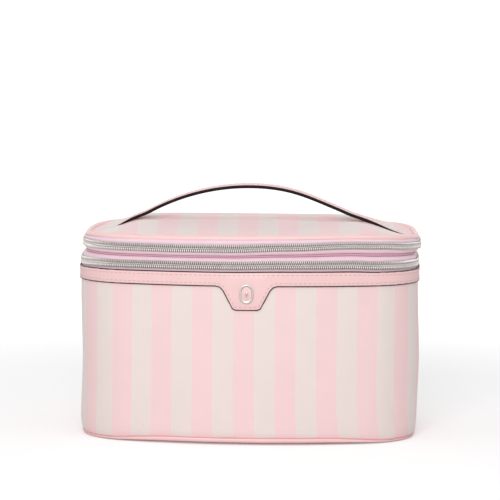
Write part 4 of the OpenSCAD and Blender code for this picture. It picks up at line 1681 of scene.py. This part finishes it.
class TRAINCASE_OT_strap(bpy.types.Operator):
    """Make the arched strap: two leathers, their painted edge and their stitches"""

    bl_idname = "train_case.strap"
    bl_label = "Strap"

    def execute(self, context):
        half = STRAP_THICKNESS / 2
        wide = STRAP_WIDTH / 2
        lift_off = high("lid_panel").z
        bodies = ("lid", "handle", (0, 0, lift_off + 1 * MM), (0, 0, lift_off + 10.5 * MM))
        top = self.layer("strap_top", wide - 0.15 * MM, half - STRAP_SKIN, half, 0.49 * STRAP_SKIN)
        nodes = ["strap_top_leather", "strap_end_left", "strap_end_right"]
        finish(top, bodies, "pink leather", nodes)
        edge = self.layer("strap_painted_edge", wide, -half + 0.1 * MM, half - 0.45 * MM, 0.3 * MM)
        finish(edge, bodies, "strap edge paint", ["strap_core"])
        under = self.layer("strap_under", wide - 0.9 * MM, -half, STRAP_SKIN - half, 0.25 * MM)
        finish(under, bodies, "pink leather", ["strap_under_leather"])
        self.stitches(context.scene.train_case_sizes, bodies, half)
        return {"FINISHED"}

    def layer(self, name, half_width, bottom, top, round_edge):
        """One layer of the strap, between two heights over the middle of its thickness."""
        size = (2 * STRAP_REACH, 2 * half_width, top - bottom)
        layer = cube(name, (0, 0, (bottom + top) / 2), size)
        round_off(layer, round_edge)
        cut(layer, 119)
        unroll(layer, on_plan)
        shape(layer, lambda co: strap_spot(co.x, co.y, co.z))
        smooth(layer, 50)
        return layer

    def stitches(self, sizes, bodies, half):
        """A row of thread along each edge."""
        reach = STRAP_REACH - 4 * MM
        count = int(2 * reach / sizes.stitch_pitch)
        aside = STRAP_WIDTH / 2 - sizes.stitch_inset
        places = [
            Matrix.Translation((x, side * aside, half - 0.05 * MM))
            for x in steps(-reach, reach, count)
            for side in (-1, 1)
        ]
        rows = repeat("strap_stitches", stitch(sizes.stitch, 0.24 * MM, 0.2 * MM), places)
        shape(rows, lambda co: strap_spot(co.x, co.y, co.z))
        unroll(rows, on_plan)
        smooth(rows, 80)
        finish(rows, bodies, "thread")


class TRAINCASE_OT_sliders(bpy.types.Operator):
    """Make the two sliders and their pulls"""

    bl_idname = "train_case.sliders"
    bl_label = "Sliders and pulls"

    def execute(self, context):
        for name, middle in (("lower", LOWER_ZIP), ("upper", UPPER_ZIP)):
            self.slider(name + "_slider", middle)
            self.pull(name + "_pull", middle)
        return {"FINISHED"}

    def block(self, name, size, place, cuts, round_edge):
        """A rounded block, cut into columns so that it can follow the corner."""
        block = cube(name, place, size)
        cut(block, cuts)
        soften(block, round_edge, 3, 40)
        return block

    def slider(self, name, middle):
        """Two plates with lips, the web between them and the bridge that holds the pull."""
        length = SLIDER_LENGTH
        outer = -COIL_PROUD - 0.5 * MM
        inner = TAPE_INSET + 1.1 * MM
        plate = 0.9 * MM
        tall = high(name).z - low(name).z
        hold = PULL_OUT + 0.8 * MM
        face = self.block(name, (length, plate, tall), (0, outer - plate / 2, 0), 12, 0.3 * MM)
        back_size = (length, plate, COIL_WIDTH + 0.4 * MM)
        web_size = (length * 0.5, inner - outer, 0.4 * MM)
        lip_size = (length * 0.9, 0.9 * MM, 0.5 * MM)
        post_size = (1.3 * MM, hold + outer + 1.0 * MM, 2 * MM)
        bridge_size = (length - 1.2 * MM, 1.1 * MM, 2 * MM)
        parts = [
            self.block("back", back_size, (0, inner + plate / 2, 0), 12, 0.25 * MM),
            self.block("web", web_size, (0, (inner + outer) / 2, 0), 6, 0.1 * MM),
        ]
        for side in (-1, 1):
            lip_place = (0, outer + 0.25 * MM, side * (tall / 2 - 0.3 * MM))
            post_place = (side * (length / 2 - 1.25 * MM), (outer - hold - 0.6 * MM) / 2, 0)
            parts.append(self.block("lip", lip_size, lip_place, 10, 0.15 * MM))
            parts.append(self.block("post", post_size, post_place, 1, 0.3 * MM))
        bridge = self.block("bridge", bridge_size, (0, -hold - 0.55 * MM, 0), 12, 0.35 * MM)
        half = length / 2
        shape(bridge, lambda co: co + Vector((0, 0.5 * MM * (abs(co.x) / half) ** 3, 0)))
        slider = join(face, *parts, bridge)

        def rule(co):
            on_face = outer - plate * 1.1 < co.y < outer + 0.8 * MM
            narrow = 1 - 0.16 * ease(co.x / length + 0.5) if on_face else 1
            return Vector((co.x - SLIDER_SPOT, co.y, middle + co.z * narrow))

        shape(slider, rule)
        unroll(slider)
        wrap(slider)
        smooth(slider, 45)
        finish(slider, name, "plated metal", [name])

    def tongue(self, name, eye, reach, wide, thick):
        """The flat tongue with a waist, a round end and a hole."""
        hole = 1.4 * MM
        round_from = reach - wide / 2
        centre = Vector((round_from, 0, 0))
        columns = {*steps(eye, reach, 22), *steps(eye, eye + 3 * MM, 6)}
        columns = sorted(columns | set(steps(reach - 3 * MM, reach, 8)))

        def half_width(x):
            """Half the tongue's width: narrow at the arms, round at the far end."""
            if x > round_from:
                return math.sqrt(max(0.0, (wide / 2) ** 2 - (x - round_from) ** 2))
            return (2.4 + 1.1 * ease((x - eye) / (6 * MM))) * MM

        tongue = grid(name, len(columns) - 1, 6)

        def rule(co):
            x = columns[round((co.x + 0.5) * (len(columns) - 1))]
            return Vector((x, co.y * 2 * half_width(x), 0))

        shape(tongue, rule)
        weld(tongue)
        choose_faces(tongue, lambda middle, normal: (middle - centre).length < hole)
        bpy.ops.mesh.delete(type="FACE")
        put_down()
        face_up(tongue)
        thicken(tongue, thick, 0)
        soften(tongue, 0.25 * MM, 3, 40)
        shape(tongue, lambda co: Vector((co.x, -co.z, co.y)))
        return tongue

    def pull(self, name, middle):
        """The tongue and its two arms on a round pin, laid back along the side."""
        eye = 6.1 * MM
        thick = 1 * MM
        tongue = self.tongue(name, eye, 24 * MM, 7 * MM, thick)
        parts = []
        for side in (-1, 1):
            place = (eye / 2 + 0.2 * MM, 0, side * 1.95 * MM)
            parts.append(self.block("arm", (eye + 0.8 * MM, thick, 1.1 * MM), place, 2, 0.25 * MM))
        bpy.ops.mesh.primitive_cylinder_add(vertices=24, radius=0.5 * MM, depth=4.6 * MM)
        parts.append(fresh("pin"))
        pull = join(tongue, *parts)
        weld(pull, 0.001 * MM)
        turn = Matrix.Rotation(PARK_ANGLE - math.pi / 2, 4, "Z")
        centre_line = Vector((-REAR_CORNER.x, REAR_CORNER.y, middle))
        out = Vector((0, CORNER + PULL_OUT, 0))
        shape(pull, lambda co: centre_line + turn @ (co + out))
        unroll(pull)
        smooth(pull, 45)
        finish(pull, name, "plated metal", [name])


class TRAINCASE_OT_hidden_layers(bpy.types.Operator):
    """Give the base's board and foam their finish, and the layers out of sight a plain one"""

    bl_idname = "train_case.hidden_layers"
    bl_label = "Boards and foam"

    def execute(self, context):
        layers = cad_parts
        cover(layers["base_foam"], "foam")
        cover(layers["base_board"], "board")
        for piece in layers.values():
            if piece.hide_render:
                cover(piece, "lining cloth")
        return {"FINISHED"}


class TRAINCASE_PT_panel(bpy.types.Panel):
    """Buttons for every group of pieces"""

    bl_idname = "TRAINCASE_PT_panel"
    bl_label = "Train Case"
    bl_space_type = "VIEW_3D"
    bl_region_type = "UI"
    bl_category = "Train Case"

    def draw(self, context):
        for operator in OPERATORS:
            self.layout.operator(operator.bl_idname)
        for group in (context.scene.train_case_sizes, context.scene.train_case_colours):
            box = self.layout.box()
            for name in group.__annotations__:
                box.prop(group, name)


OPERATORS = (
    TRAINCASE_OT_stage,
    TRAINCASE_OT_wall_cloth,
    TRAINCASE_OT_base,
    TRAINCASE_OT_trim_band,
    TRAINCASE_OT_badge,
    TRAINCASE_OT_zips,
    TRAINCASE_OT_hinge_cloth,
    TRAINCASE_OT_seam,
    TRAINCASE_OT_lining,
    TRAINCASE_OT_lid,
    TRAINCASE_OT_strap,
    TRAINCASE_OT_sliders,
    TRAINCASE_OT_hidden_layers,
)
CLASSES = (TrainCaseColours, TrainCaseSizes, *OPERATORS, TRAINCASE_PT_panel)


def register():
    for item in CLASSES:
        bpy.utils.register_class(item)
    bpy.types.Scene.train_case_colours = PointerProperty(type=TrainCaseColours)
    bpy.types.Scene.train_case_sizes = PointerProperty(type=TrainCaseSizes)


def unregister():
    del bpy.types.Scene.train_case_sizes
    del bpy.types.Scene.train_case_colours
    for item in reversed(CLASSES):
        bpy.utils.unregister_class(item)


def main():
    """Makes every piece."""
    register()
    put_down()
    for operator in OPERATORS:
        group, name = operator.bl_idname.split(".")
        getattr(getattr(bpy.ops, group), name)()
    put_down()


if __name__ == "__main__":
    main()
